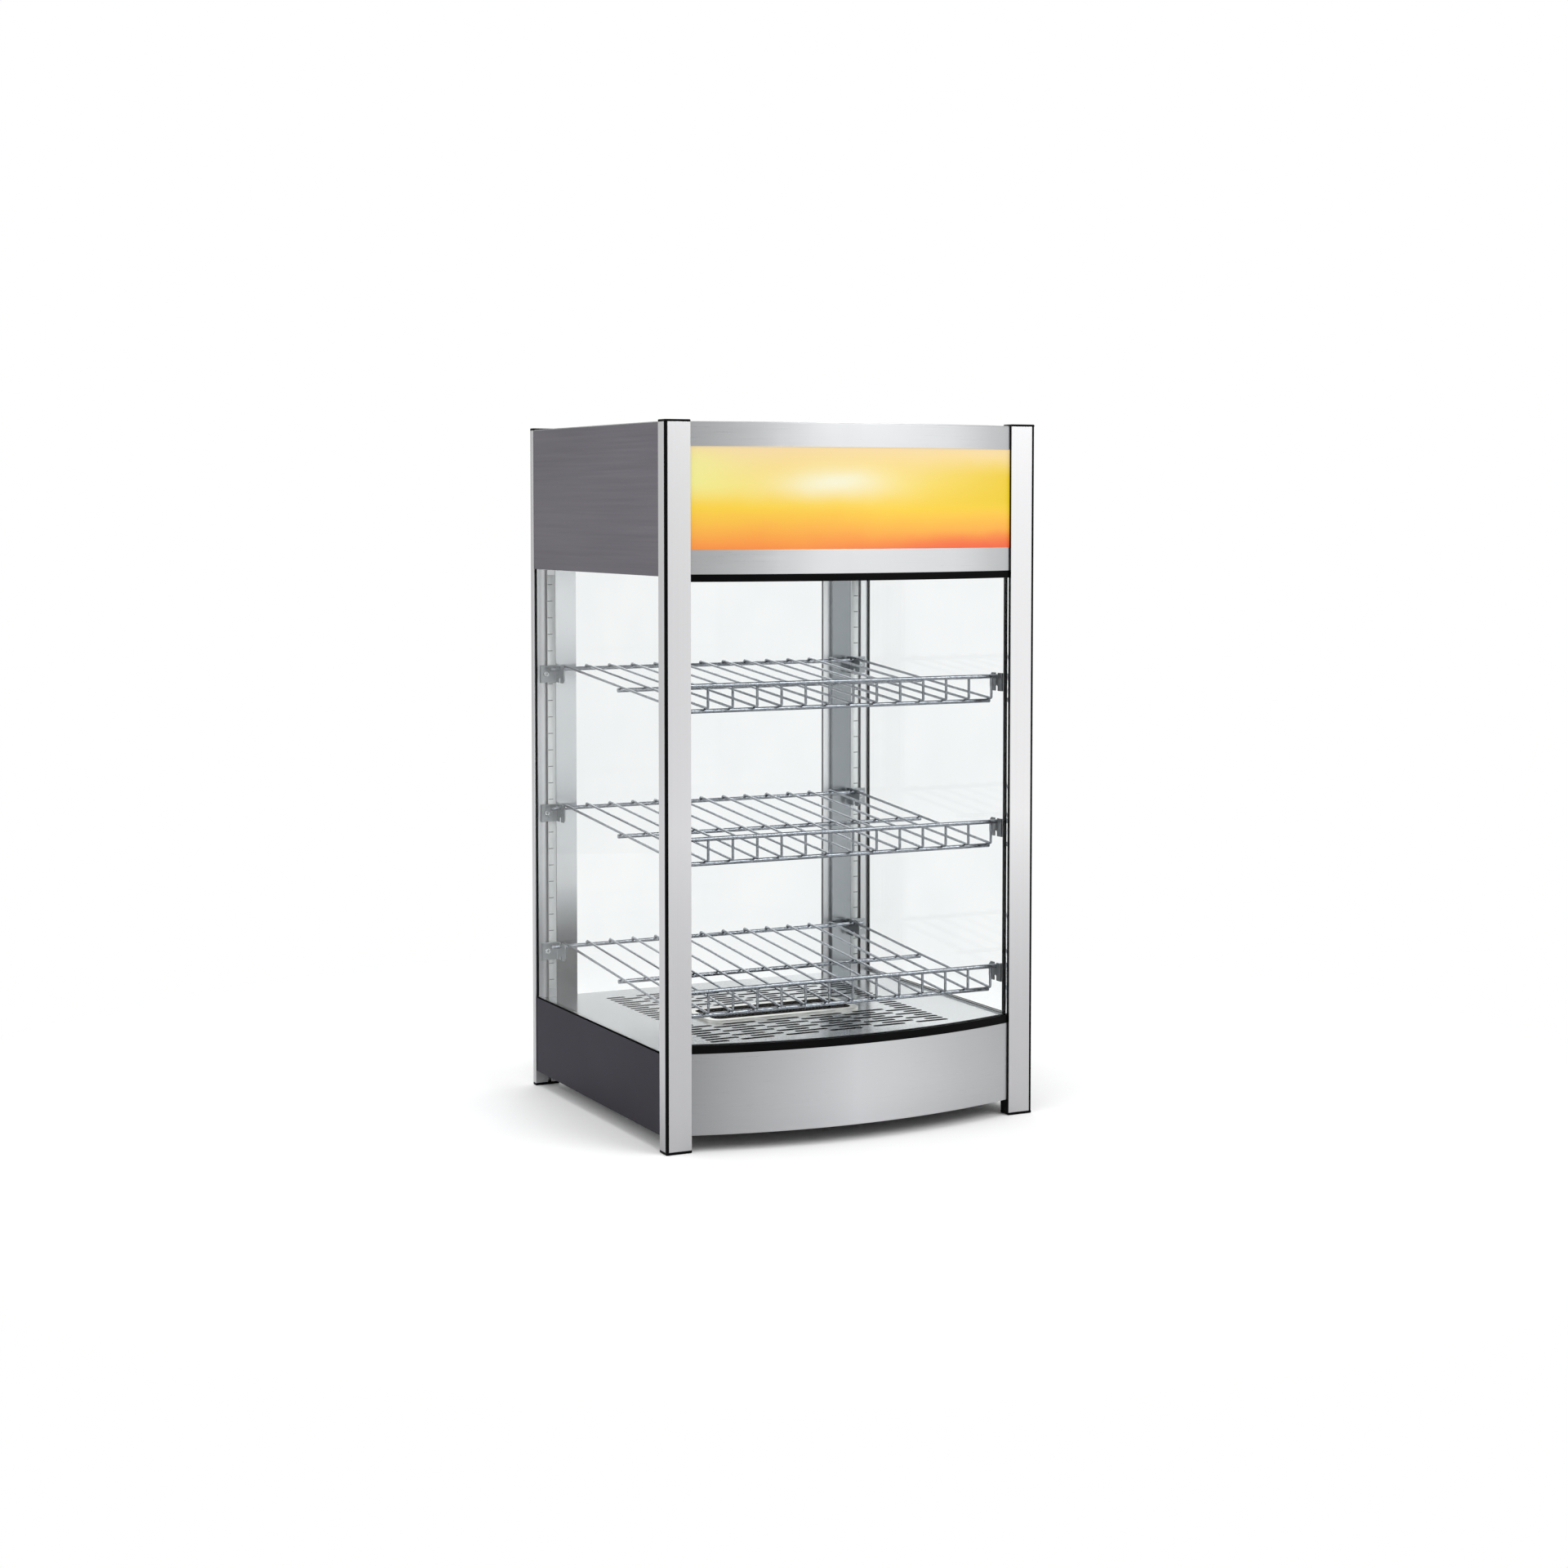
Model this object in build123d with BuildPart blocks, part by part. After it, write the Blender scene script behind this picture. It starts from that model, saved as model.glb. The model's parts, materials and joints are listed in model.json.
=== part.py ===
from build123d import *
import os
from math import asin, cos, degrees, pi, radians, sin, tan

# Heated display case, in millimetres.
# X runs to the right as seen from the front, Y to the back and Z up.
# The origin is under the middle of the overall box, on the surface that the case stands on.

# Overall size
WIDTH = 462.0  # over the corner posts
HEIGHT = 796.0  # from the foot caps to the post caps
BODY_DEPTH = 400.0  # from the front posts' faces to the rear posts' backs
BOW_RISE = 32.3  # how far the front's arc stands ahead of its own ends
BOW_SETBACK = 2.7  # how far the arc's ends lie behind the front posts' faces
BACK_REACH = 5.4  # how far the door's stile stands behind the rear posts

# Corner posts, cut from two extrusions
POST_WIDTH = 30.3
FRONT_POST_DEPTH = 18.5
REAR_POST_DEPTH = 9.0
POST_WALL = 1.6
FOOT_CAP = 3.0
POST_CAP = 2.5
PLUG_LENGTH = 9.0
PLUG_FIT = 0.1
CAP_CHAMFER = 0.6
CORNER_STRIP = 3.0
STRIP_ROUND = 1.4
GASKET = 1.5
GASKET_MARGIN = 1.0

# Slotted track on the inner face of each post
TRACK_INSET = 18.0  # from the post's outer face to the track's middle
TRACK_MOUTH = 4.0
TRACK_LIP = 1.5
TRACK_WIDTH = 9.0
TRACK_DEPTH = 3.2

# Heights of the base, the header and the bands of the front
GROUND_GAP = 18.5
BASE_HEIGHT = 89.5
HEADER_DROP = 3.0  # header below the tops of the post caps
HEADER_HEIGHT = 165.5
SILL_HEIGHT = 9.1
LINTEL_HEIGHT = 8.2
LOWER_STRIP_HEIGHT = 26.5
LIGHT_HEIGHT = 111.2

# Sheet metal and glass
SHEET = 1.0
FIT = 0.3  # gap between neighbouring pieces
SIDE_INSET = 1.0  # side panels behind the posts' outer faces
SEAT_WIDTH = 8.7  # base flange that the side glass stands on
FLANGE = 12.0
HEADER_FLANGE = 16.0
SIDE_GLASS = 5.0
FRONT_GLASS = 4.0
GLASS_FIT = 0.1
TRIM_DEPTH = 10.0
TRIM_LIP = 1.9
GLASS_BITE = 4.6  # how deep the front glass stands in its trims
SEAL_BASE = 1.0
SEAL_LIP = 3.0
SEAL_WALL = 1.0
LIGHT_SHEET = 3.0
LIGHT_BEHIND = 0.2  # backlit panel behind the strips' inner faces

# Floor plate: staggered rows of slots round the water tray
SLOT_LENGTH = 41.5
SLOT_GAP = 14.5
SHORT_SLOT = 24.0
SLOT_WIDTH = 4.6
ROW_PITCH = 12.2
FIELD_SIDE_MARGIN = 68.0
FIELD_END_MARGIN = 39.0
FLOOR_FLANGE = 36.0

# Water tray
TRAY_X = -8.0
TRAY_Y = 4.0
TRAY_WIDTH = 196.0
TRAY_LENGTH = 80.0
TRAY_DEPTH = 20.0
TRAY_RIM = 7.0
TRAY_RIM_HEIGHT = 3.0
TRAY_WALL = 1.0
TRAY_ROUND = 15.0
TRAY_FIT = 0.8
SLOT_TRAY_MARGIN = 8.0

# Vents and controls
VENT_LENGTH = 40.0
VENT_WIDTH = 5.0
VENT_PITCH = 52.0
VENT_ROW_PITCH = 14.0
VENT_COLUMNS = 4
VENT_ROWS = 2
HEADER_VENT_DROP = 40.0
CONTROL_RISE = 27.0  # controls above the underside of the base
THERMOSTAT_X = 45.0
SWITCH_X = 105.0
SWITCH_PITCH = 30.0
GLAND_MARGIN = 63.7  # cable gland from the left side panel

# Thermostat
THERMOSTAT_WIDTH = 42.0
THERMOSTAT_HEIGHT = 36.0
THERMOSTAT_DEPTH = 26.0
SHAFT_RADIUS = 3.0
SHAFT_SIDES = 12
SHAFT_REACH = 11.0
SHAFT_FIT = 0.05
SHAFT_DEPTH = 6.0
KNOB_RADIUS = 18.0
KNOB_SIDES = 12
KNOB_HEIGHT = 13.0
KNOB_GAP = 0.8
KNOB_CHAMFER = 1.5
POINTER_WIDTH = 1.6
POINTER_DEPTH = 0.6
PANEL_HOLE_FIT = 0.4

# Sensor bulb on its capillary
BULB_SIDES = 8
BULB_RADIUS = 3.0
BULB_LENGTH = 60.0
CAPILLARY_RADIUS = 0.9
CAPILLARY_LENGTH = 40.0

# Rocker switches
SWITCH_WIDTH = 13.0
SWITCH_HEIGHT = 20.4
SWITCH_DEPTH = 16.0
BEZEL_MARGIN = 1.4
BEZEL_THICKNESS = 1.8
ROCKER_WIDTH = 10.6
ROCKER_HALF = 8.2
ROCKER_CROWN = 2.2
ROCKER_TILT = 11.0
ROCKER_GAP = 0.35
ROCKER_BELLY = 4.0
POCKET_DEPTH = 9.0
PIVOT_LIFT = 0.5
TRUNNION_RADIUS = 1.0
TRUNNION_SIDES = 8
TRUNNION_LENGTH = 0.7
TRUNNION_FIT = 0.06

# Cable gland and terminal block
GLAND_RADIUS = 6.0
GLAND_SIDES = 12
GLAND_NUT_RADIUS = 10.0
GLAND_NUT = 5.0
GLAND_DOME_RADIUS = 7.0
GLAND_DOME = 6.0
GLAND_BORE = 3.75
GLAND_INSIDE = 10.0
TERMINAL_WIDTH = 30.0
TERMINAL_LENGTH = 18.0
TERMINAL_HEIGHT = 14.0
TERMINAL_STEP = 6.0

# Heating element
HEATER_RADIUS = 4.0
HEATER_SIDES = 6
HEATER_RISE = 42.0  # above the bottom plate
HEATER_BEND = 45.0
HEATER_STEPS = 8  # straight steps that the bend is drawn in
HEATER_MARGIN = 70.0
HEATER_CLIP_WIDTH = 14.0
HEATER_CLIP_WALL = 1.5

# Lamp behind the backlit panel
LAMP_RADIUS = 8.0
LAMP_SIDES = 16
LAMP_END_MARGIN = 50.0  # from the lamp's end to the post
LAMP_SETBACK = 47.0  # lamp's axis behind the front of the bow
LAMP_HOLDER = 12.0
HOLDER_HEIGHT = 26.0
REFLECTOR_GAP = 20.0  # from the lamp's axis to the reflector
REFLECTOR_RISE = 34.0
REFLECTOR_LIP = 22.0
REFLECTOR_LIP_RISE = 15.0
REFLECTOR_MARGIN = 20.0

# Rear doorway
JAMB_INSET = 4.0  # door stop face ahead of the rear posts' backs
JAMB_WIDTH = 26.4

# Rear door
DOOR_GLASS = 4.0
DOOR_GAP = 2.0
DOOR_LAP = 6.0
DOOR_SIDE_LAP = 12.3
STILE_WIDTH = 24.0
STILE_EDGE = 1.7
STILE_WALL = 1.1
STILE_GRIP = 4.0
HINGE_SIDE_LAP = 16.0  # hinge axis past the doorway's edge
GLASS_PAST_PIN = 4.0
SHOE_HALF = 3.4
SHOE_SIDES = 8
SHOE_LENGTH = 18.0
SHOE_HEIGHT = 30.0
SHOE_LIP = 1.5
PIN_RADIUS = 2.0
PIN_FIT = 0.05
PIN_LENGTH = 10.0
HINGE_GAP = 0.3
HINGE_PLATE = 2.0
HINGE_PLATE_WIDTH = 20.0
HINGE_PLATE_HEIGHT = 22.0
HINGE_LEAF_WIDTH = 16.0
MAGNET_WIDTH = 8.0
MAGNET_HEIGHT = 60.0
MAGNET_PROUD = 0.2
STRIKE = 0.6

# Wire shelves
SHELF_NAMES = ("lower", "middle", "upper")
SHELF_FIRST = 62.0  # lowest rails above the top of the base
SHELF_PITCH = 168.5
RAIL_RADIUS = 2.5
RAIL_SIDES = 8
WIRE_RADIUS = 1.5
WIRE_SIDES = 6
WIRE_PITCH = 30.0
WIRE_SIDE_MARGIN = 17.0
WIRE_BEND = 5.0
WIRE_TAIL = 3.0
FENCE_DROP = 29.0
BOTTOM_ROD_BEHIND = 9.5
RAIL_END_GAP = 1.0

# Shelf brackets and their fixings
BRACKET_SHEET = 1.5
BRACKET_HEIGHT = 21.0
BRACKET_REACH = 26.0
BRACKET_INNER = 14.0  # tab's inner face inside the track's middle
BRACKET_OUTER = 7.8  # flange's edge outside the track's middle
BRACKET_CHAMFER = 4.0
NOTCH_REACH = 12.0  # notch from the track's face
NOTCH_DEPTH = 6.5
NOTCH_FIT = 0.2
SLIDE_FIT = 0.25
SCREW_RADIUS = 1.8
SCREW_HOLE_FIT = 0.3
HEAD_RADIUS = 3.5
HEAD_HEIGHT = 2.4
HEAD_SIDES = 8
SCREW_SIDES = 6
NUT_WIDTH = 8.0
NUT_HEIGHT = 9.0
NUT_FIT = 0.1

# Places that follow from the sizes
HALF = WIDTH / 2
BAY = HALF - POST_WIDTH
BAY_EDGE = BAY - FIT
BOW_REACH = BOW_RISE - BOW_SETBACK
FRONT_Y = (BOW_REACH - BODY_DEPTH - BACK_REACH) / 2
BACK_Y = FRONT_Y + BODY_DEPTH
TRACK_FRONT_Y = FRONT_Y + FRONT_POST_DEPTH
TRACK_BACK_Y = BACK_Y - REAR_POST_DEPTH
MIDDLE_Y = (TRACK_FRONT_Y + TRACK_BACK_Y) / 2
SIDE_LENGTH = TRACK_BACK_Y - TRACK_FRONT_Y
TRACK_X = HALF - TRACK_INSET
SIDE_X = HALF - SIDE_INSET
SEAT_X = SIDE_X - SEAT_WIDTH
PLATE_X = SIDE_X - SHEET - FIT
GLAND_X = GLAND_MARGIN - PLATE_X
STOP_Y = BACK_Y - JAMB_INSET
DOORWAY = BAY_EDGE - JAMB_WIDTH

POST_LENGTH = HEIGHT - FOOT_CAP - POST_CAP
POST_TOP = HEIGHT - POST_CAP
BASE_LOW = GROUND_GAP
DECK_Z = BASE_LOW + BASE_HEIGHT
FLOOR_Z = DECK_Z - SHEET
BOTTOM_Z = BASE_LOW + 2 * SHEET
CONTROL_Z = BASE_LOW + CONTROL_RISE
HEADER_TOP = HEIGHT - HEADER_DROP
HEADER_LOW = HEADER_TOP - HEADER_HEIGHT
CEILING_TOP = HEADER_LOW + 2 * SHEET
SILL_TOP = DECK_Z + SILL_HEIGHT
LINTEL_TOP = CEILING_TOP
LINTEL_LOW = LINTEL_TOP - LINTEL_HEIGHT
LIGHT_LOW = LINTEL_TOP + LOWER_STRIP_HEIGHT
LIGHT_TOP = LIGHT_LOW + LIGHT_HEIGHT

# The front's arc in plan: every bowed piece is a section carried round this axis
BOW_RADIUS = (BAY**2 + BOW_RISE**2) / (2 * BOW_RISE)
BOW_CENTRE_Y = FRONT_Y - BOW_REACH + BOW_RADIUS
BOW_INNER = BOW_RADIUS - 2 * FLANGE
BOW_SWEEP = degrees(asin(BAY / BOW_INNER))
BOW_AXIS = Axis((0, BOW_CENTRE_Y, 0), (0, 0, 1))
BOW_PLANE = Plane(
    origin=(0, BOW_CENTRE_Y, 0),
    x_dir=(-sin(radians(BOW_SWEEP)), -cos(radians(BOW_SWEEP)), 0),
    z_dir=(-cos(radians(BOW_SWEEP)), sin(radians(BOW_SWEEP)), 0),
)
BETWEEN_TRACKS = Plane.XZ.offset(-MIDDLE_Y)

os.makedirs("parts", exist_ok=True)


def save(piece, name):
    """Labels a finished piece and writes it as its own STEP file."""
    piece.label = name
    export_step(piece, f"parts/{name}.step")


def across(y):
    """The upright plane at a depth: X to the right, Z up, facing the front."""
    return Plane.XZ.offset(-y)


def folded(*corners, gauge=SHEET):
    """Draws the section of a folded sheet whose face runs through the corners, with its gauge on the left."""
    with BuildLine() as section:
        Polyline(*corners)
        offset(amount=gauge, side=Side.LEFT)
    make_face(section.edges())


def outline(*corners):
    """Draws a closed straight-sided outline."""
    with BuildLine() as border:
        Polyline(*corners, close=True)
    make_face(border.edges())


def bowed(section):
    """Carries a section round the front's arc and cuts both ends square, just inside the posts."""
    with BuildPart() as piece:
        revolve(section.sketch, axis=BOW_AXIS, revolution_arc=2 * BOW_SWEEP)
        with Locations((0, FRONT_Y, HEIGHT / 2)):
            Box(2 * BAY_EDGE, BODY_DEPTH, HEIGHT, mode=Mode.INTERSECT)
    return piece


def case_plan(side, front_depth, back):
    """Draws the case in plan: full width between the posts, and the bay from the bowed front to the back."""
    radius = BOW_RADIUS - front_depth
    reach = degrees(asin(BAY_EDGE / radius))
    with BuildLine() as bay:
        front = CenterArc((0, BOW_CENTRE_Y), radius, 270 - reach, 2 * reach)
        Polyline(front @ 1, (BAY_EDGE, back), (-BAY_EDGE, back), front @ 0)
    make_face(bay.edges())
    with Locations((0, MIDDLE_Y)):
        Rectangle(2 * side, SIDE_LENGTH - 2 * FIT)


def front_chamber(margin=0.0):
    """Draws the hollow of the right front post, or the plug that fills it."""
    left = BAY + GASKET + POST_WALL
    right = HALF - CORNER_STRIP - POST_WALL
    back = TRACK_FRONT_Y - TRACK_LIP - TRACK_DEPTH - POST_WALL
    front = FRONT_Y + POST_WALL
    width = right - left - 2 * margin
    length = back - front - 2 * margin
    with Locations(((left + right) / 2, (front + back) / 2)):
        Rectangle(width, length, mode=Mode.ADD if margin else Mode.SUBTRACT)


def rear_chamber(margin=0.0):
    """Draws the hollow of the right rear post, or the plug that fills it."""
    left = TRACK_X + TRACK_WIDTH / 2 + POST_WALL
    right = HALF - POST_WALL
    width = right - left - 2 * margin
    length = REAR_POST_DEPTH - 2 * POST_WALL - 2 * margin
    with Locations(((left + right) / 2, (TRACK_BACK_Y + BACK_Y) / 2)):
        Rectangle(width, length, mode=Mode.ADD if margin else Mode.SUBTRACT)


def track(face_y, inward):
    """Cuts the slotted track into a post; inward is +1 where the post lies behind its track face."""
    with Locations((TRACK_X, face_y + inward * TRACK_LIP / 2)):
        Rectangle(TRACK_MOUTH, TRACK_LIP, mode=Mode.SUBTRACT)
    with Locations((TRACK_X, face_y + inward * (TRACK_LIP + TRACK_DEPTH / 2))):
        Rectangle(TRACK_WIDTH, TRACK_DEPTH, mode=Mode.SUBTRACT)


def post_footprints():
    """Draws the outlines of the right front and right rear posts."""
    with Locations((HALF, FRONT_Y)):
        Rectangle(POST_WIDTH, FRONT_POST_DEPTH, align=(Align.MAX, Align.MIN))
    with Locations((HALF, BACK_Y)):
        Rectangle(POST_WIDTH, REAR_POST_DEPTH, align=(Align.MAX, Align.MAX))


def end_caps(plate_low, plate, plug_low, outer):
    """Caps for one end of all four posts: a plate with a plug in each post's chamber."""
    with BuildPart() as caps:
        with BuildSketch(Plane.XY.offset(plate_low)):
            post_footprints()
        extrude(amount=plate)
        chamfer(caps.edges().group_by(Axis.Z)[outer], CAP_CHAMFER)
        with BuildSketch(Plane.XY.offset(plug_low)):
            front_chamber(PLUG_FIT)
            rear_chamber(PLUG_FIT)
        extrude(amount=PLUG_LENGTH)
        mirror(about=Plane.YZ)
    return caps


# Corner posts: the right-hand ones are drawn, and the left-hand ones mirror them
with BuildPart() as front_post:
    with BuildSketch(Plane.XY.offset(FOOT_CAP)):
        with Locations((HALF, FRONT_Y)):
            Rectangle(POST_WIDTH, FRONT_POST_DEPTH, align=(Align.MAX, Align.MIN))
            Rectangle(CORNER_STRIP, CORNER_STRIP, align=(Align.MAX, Align.MIN), mode=Mode.SUBTRACT)
        with Locations((BAY, FRONT_Y + FRONT_POST_DEPTH / 2)):
            Rectangle(
                GASKET,
                FRONT_POST_DEPTH - 2 * GASKET_MARGIN,
                align=(Align.MIN, Align.CENTER),
                mode=Mode.SUBTRACT,
            )
        track(TRACK_FRONT_Y, -1)
        front_chamber()
    extrude(amount=POST_LENGTH)

with BuildPart() as rear_post:
    with BuildSketch(Plane.XY.offset(FOOT_CAP)):
        with Locations((HALF, BACK_Y)):
            Rectangle(POST_WIDTH, REAR_POST_DEPTH, align=(Align.MAX, Align.MAX))
        track(TRACK_BACK_Y, 1)
        rear_chamber()
    extrude(amount=POST_LENGTH)

save(front_post.part, "front_right_post")
save(mirror(front_post.part, about=Plane.YZ), "front_left_post")
save(rear_post.part, "rear_right_post")
save(mirror(rear_post.part, about=Plane.YZ), "rear_left_post")

foot_caps = end_caps(0, FOOT_CAP, FOOT_CAP, outer=0)
save(foot_caps.part, "foot_caps")

post_caps = end_caps(POST_TOP, POST_CAP, POST_TOP - PLUG_LENGTH, outer=-1)
save(post_caps.part, "post_caps")

with BuildPart() as corner_strips:
    with BuildSketch(Plane.XY.offset(FOOT_CAP)) as strip:
        with Locations((HALF, FRONT_Y)):
            Rectangle(CORNER_STRIP, CORNER_STRIP, align=(Align.MAX, Align.MIN))
        fillet(strip.vertices().sort_by_distance((HALF, FRONT_Y))[0], STRIP_ROUND)
    extrude(amount=POST_LENGTH)
    mirror(about=Plane.YZ)
save(corner_strips.part, "corner_strips")

with BuildPart() as front_channel_gaskets:
    with BuildSketch(Plane.XY.offset(FOOT_CAP)):
        with Locations((BAY, FRONT_Y + FRONT_POST_DEPTH / 2)):
            Rectangle(GASKET, FRONT_POST_DEPTH - 2 * GASKET_MARGIN, align=(Align.MIN, Align.CENTER))
    extrude(amount=POST_LENGTH)
    mirror(about=Plane.YZ)
save(front_channel_gaskets.part, "front_channel_gaskets")

# Side panels of the base and the header: sheets folded inwards along both long edges
with BuildPart() as base_side:
    with BuildSketch(across(TRACK_FRONT_Y)):
        folded((SIDE_X - FLANGE, BASE_LOW), (SIDE_X, BASE_LOW), (SIDE_X, DECK_Z), (SEAT_X, DECK_Z))
    extrude(amount=-SIDE_LENGTH)
save(base_side.part, "base_right_panel")
save(mirror(base_side.part, about=Plane.YZ), "base_left_panel")

with BuildPart() as header_side:
    with BuildSketch(across(TRACK_FRONT_Y)):
        folded(
            (SIDE_X - HEADER_FLANGE, HEADER_LOW),
            (SIDE_X, HEADER_LOW),
            (SIDE_X, HEADER_TOP),
            (SIDE_X - HEADER_FLANGE, HEADER_TOP),
        )
    extrude(amount=-SIDE_LENGTH)
save(header_side.part, "header_right_panel")
save(mirror(header_side.part, about=Plane.YZ), "header_left_panel")

# Bowed front, from the base up
with BuildSketch(BOW_PLANE) as base_front_section:
    folded(
        (BOW_RADIUS - FLANGE, BASE_LOW),
        (BOW_RADIUS, BASE_LOW),
        (BOW_RADIUS, DECK_Z),
        (BOW_RADIUS - FLANGE, DECK_Z),
    )
base_front_panel = bowed(base_front_section)
save(base_front_panel.part, "base_front_panel")

GROOVE_FRONT = BOW_RADIUS - TRIM_LIP
GROOVE_BACK = GROOVE_FRONT - FRONT_GLASS - 2 * GLASS_FIT
GLASS_LOW = SILL_TOP - GLASS_BITE
GLASS_HIGH = LINTEL_LOW + GLASS_BITE

with BuildSketch(BOW_PLANE) as sill_section:
    outline(
        (BOW_RADIUS, DECK_Z),
        (BOW_RADIUS, SILL_TOP),
        (GROOVE_FRONT, SILL_TOP),
        (GROOVE_FRONT, GLASS_LOW),
        (GROOVE_BACK, GLASS_LOW),
        (GROOVE_BACK, SILL_TOP),
        (BOW_RADIUS - TRIM_DEPTH, SILL_TOP),
        (BOW_RADIUS - TRIM_DEPTH, DECK_Z),
    )
sill_trim = bowed(sill_section)
save(sill_trim.part, "sill_trim")

with BuildSketch(BOW_PLANE) as lintel_section:
    outline(
        (BOW_RADIUS, LINTEL_TOP),
        (BOW_RADIUS, LINTEL_LOW),
        (GROOVE_FRONT, LINTEL_LOW),
        (GROOVE_FRONT, GLASS_HIGH + FIT),
        (GROOVE_BACK, GLASS_HIGH + FIT),
        (GROOVE_BACK, LINTEL_LOW),
        (BOW_RADIUS - TRIM_DEPTH, LINTEL_LOW),
        (BOW_RADIUS - TRIM_DEPTH, LINTEL_TOP),
    )
lintel_trim = bowed(lintel_section)
save(lintel_trim.part, "lintel_trim")

with BuildSketch(BOW_PLANE) as front_glass_section:
    outline(
        (GROOVE_FRONT - GLASS_FIT, GLASS_LOW),
        (GROOVE_FRONT - GLASS_FIT, GLASS_HIGH),
        (GROOVE_BACK + GLASS_FIT, GLASS_HIGH),
        (GROOVE_BACK + GLASS_FIT, GLASS_LOW),
    )
front_glass = bowed(front_glass_section)
save(front_glass.part, "front_glass")

with BuildSketch(BOW_PLANE) as lower_strip_section:
    folded((BOW_RADIUS - FLANGE, LINTEL_TOP), (BOW_RADIUS, LINTEL_TOP), (BOW_RADIUS, LIGHT_LOW))
header_lower_strip = bowed(lower_strip_section)
save(header_lower_strip.part, "header_lower_strip")

with BuildSketch(BOW_PLANE) as upper_strip_section:
    folded((BOW_RADIUS, LIGHT_TOP), (BOW_RADIUS, HEADER_TOP), (BOW_RADIUS - FLANGE, HEADER_TOP))
header_upper_strip = bowed(upper_strip_section)
save(header_upper_strip.part, "header_upper_strip")

LIGHT_FACE = BOW_RADIUS - SHEET - LIGHT_BEHIND
with BuildSketch(BOW_PLANE) as light_section:
    outline(
        (LIGHT_FACE, LINTEL_TOP + SHEET),
        (LIGHT_FACE, HEADER_TOP - SHEET - FIT),
        (LIGHT_FACE - LIGHT_SHEET, HEADER_TOP - SHEET - FIT),
        (LIGHT_FACE - LIGHT_SHEET, LINTEL_TOP + SHEET),
    )
light_panel = bowed(light_section)
save(light_panel.part, "light_panel")

# Side glass, standing on the base's flange in a black seal that runs down both ends and under it
SEAL_WIDTH = SIDE_GLASS + 2 * GLASS_FIT + 2 * SEAL_WALL
SEAL_X = (SEAT_X + SIDE_X) / 2
SEAL_TOP = HEADER_LOW - GLASS_FIT
GLASS_LENGTH = SIDE_LENGTH - 2 * SEAL_BASE - 2 * GLASS_FIT
GLASS_FOOT = DECK_Z + SEAL_BASE + GLASS_FIT

with BuildPart() as side_glass:
    with BuildSketch(Plane.XY.offset(GLASS_FOOT)):
        with Locations((SEAL_X, MIDDLE_Y)):
            Rectangle(SIDE_GLASS, GLASS_LENGTH)
    extrude(amount=SEAL_TOP - GLASS_FOOT)
save(side_glass.part, "right_glass")
save(mirror(side_glass.part, about=Plane.YZ), "left_glass")

with BuildPart() as side_glass_seals:
    with BuildSketch(Plane.YZ.offset(SEAL_X)):
        with Locations((MIDDLE_Y, DECK_Z)):
            Rectangle(SIDE_LENGTH, SEAL_TOP - DECK_Z, align=(Align.CENTER, Align.MIN))
        with Locations((MIDDLE_Y, DECK_Z + SEAL_BASE + SEAL_LIP)):
            Rectangle(
                SIDE_LENGTH - 2 * SEAL_BASE - 2 * SEAL_LIP,
                HEADER_LOW - DECK_Z,
                align=(Align.CENTER, Align.MIN),
                mode=Mode.SUBTRACT,
            )
    extrude(amount=SEAL_WIDTH / 2, both=True)
    with BuildSketch(Plane.YZ.offset(SEAL_X)):
        with Locations((MIDDLE_Y, DECK_Z + SEAL_BASE)):
            Rectangle(
                SIDE_LENGTH - 2 * SEAL_BASE,
                HEADER_LOW - DECK_Z,
                align=(Align.CENTER, Align.MIN),
            )
    extrude(amount=SIDE_GLASS / 2 + GLASS_FIT, both=True, mode=Mode.SUBTRACT)
    mirror(about=Plane.YZ)
save(side_glass_seals.part, "side_glass_seals")

# Header cover: the top plate with its back folded down to the doorway
with BuildPart() as header_cover:
    with BuildSketch(Plane.XY.offset(HEADER_TOP)):
        case_plan(SIDE_X, 0, STOP_Y)
    extrude(amount=SHEET)
    with BuildSketch(across(STOP_Y)):
        with Locations((0, HEADER_LOW)):
            Rectangle(2 * BAY_EDGE, HEADER_HEIGHT, align=(Align.CENTER, Align.MIN))
        with Locations((0, HEADER_TOP - HEADER_VENT_DROP)):
            with GridLocations(VENT_PITCH, VENT_ROW_PITCH, VENT_COLUMNS, VENT_ROWS):
                Rectangle(VENT_LENGTH, VENT_WIDTH, mode=Mode.SUBTRACT)
    extrude(amount=SHEET)
save(header_cover.part, "header_cover")

with BuildPart() as ceiling_plate:
    with BuildSketch(Plane.XY.offset(CEILING_TOP - SHEET)):
        case_plan(PLATE_X, TRIM_DEPTH + FIT, STOP_Y - SHEET - FIT)
    extrude(amount=SHEET)
save(ceiling_plate.part, "ceiling_plate")

# Lamp, its holders and the folded reflector behind it
LAMP_Y = FRONT_Y - BOW_REACH + LAMP_SETBACK
LAMP_Z = (LIGHT_LOW + LIGHT_TOP) / 2
LAMP_HALF = BAY - LAMP_END_MARGIN
REFLECTOR_Y = LAMP_Y + REFLECTOR_GAP

with BuildPart() as lamp_tube:
    with BuildSketch(Plane.YZ):
        with Locations((LAMP_Y, LAMP_Z)):
            RegularPolygon(LAMP_RADIUS, LAMP_SIDES)
    extrude(amount=LAMP_HALF, both=True)
save(lamp_tube.part, "lamp_tube")

with BuildPart() as lamp_holders:
    with BuildSketch(Plane.YZ.offset(LAMP_HALF)):
        with Locations((REFLECTOR_Y, LAMP_Z)):
            Rectangle(REFLECTOR_GAP + LAMP_RADIUS, HOLDER_HEIGHT, align=(Align.MAX, Align.CENTER))
    extrude(amount=LAMP_HOLDER)
    mirror(about=Plane.YZ)
save(lamp_holders.part, "lamp_holders")

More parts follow.
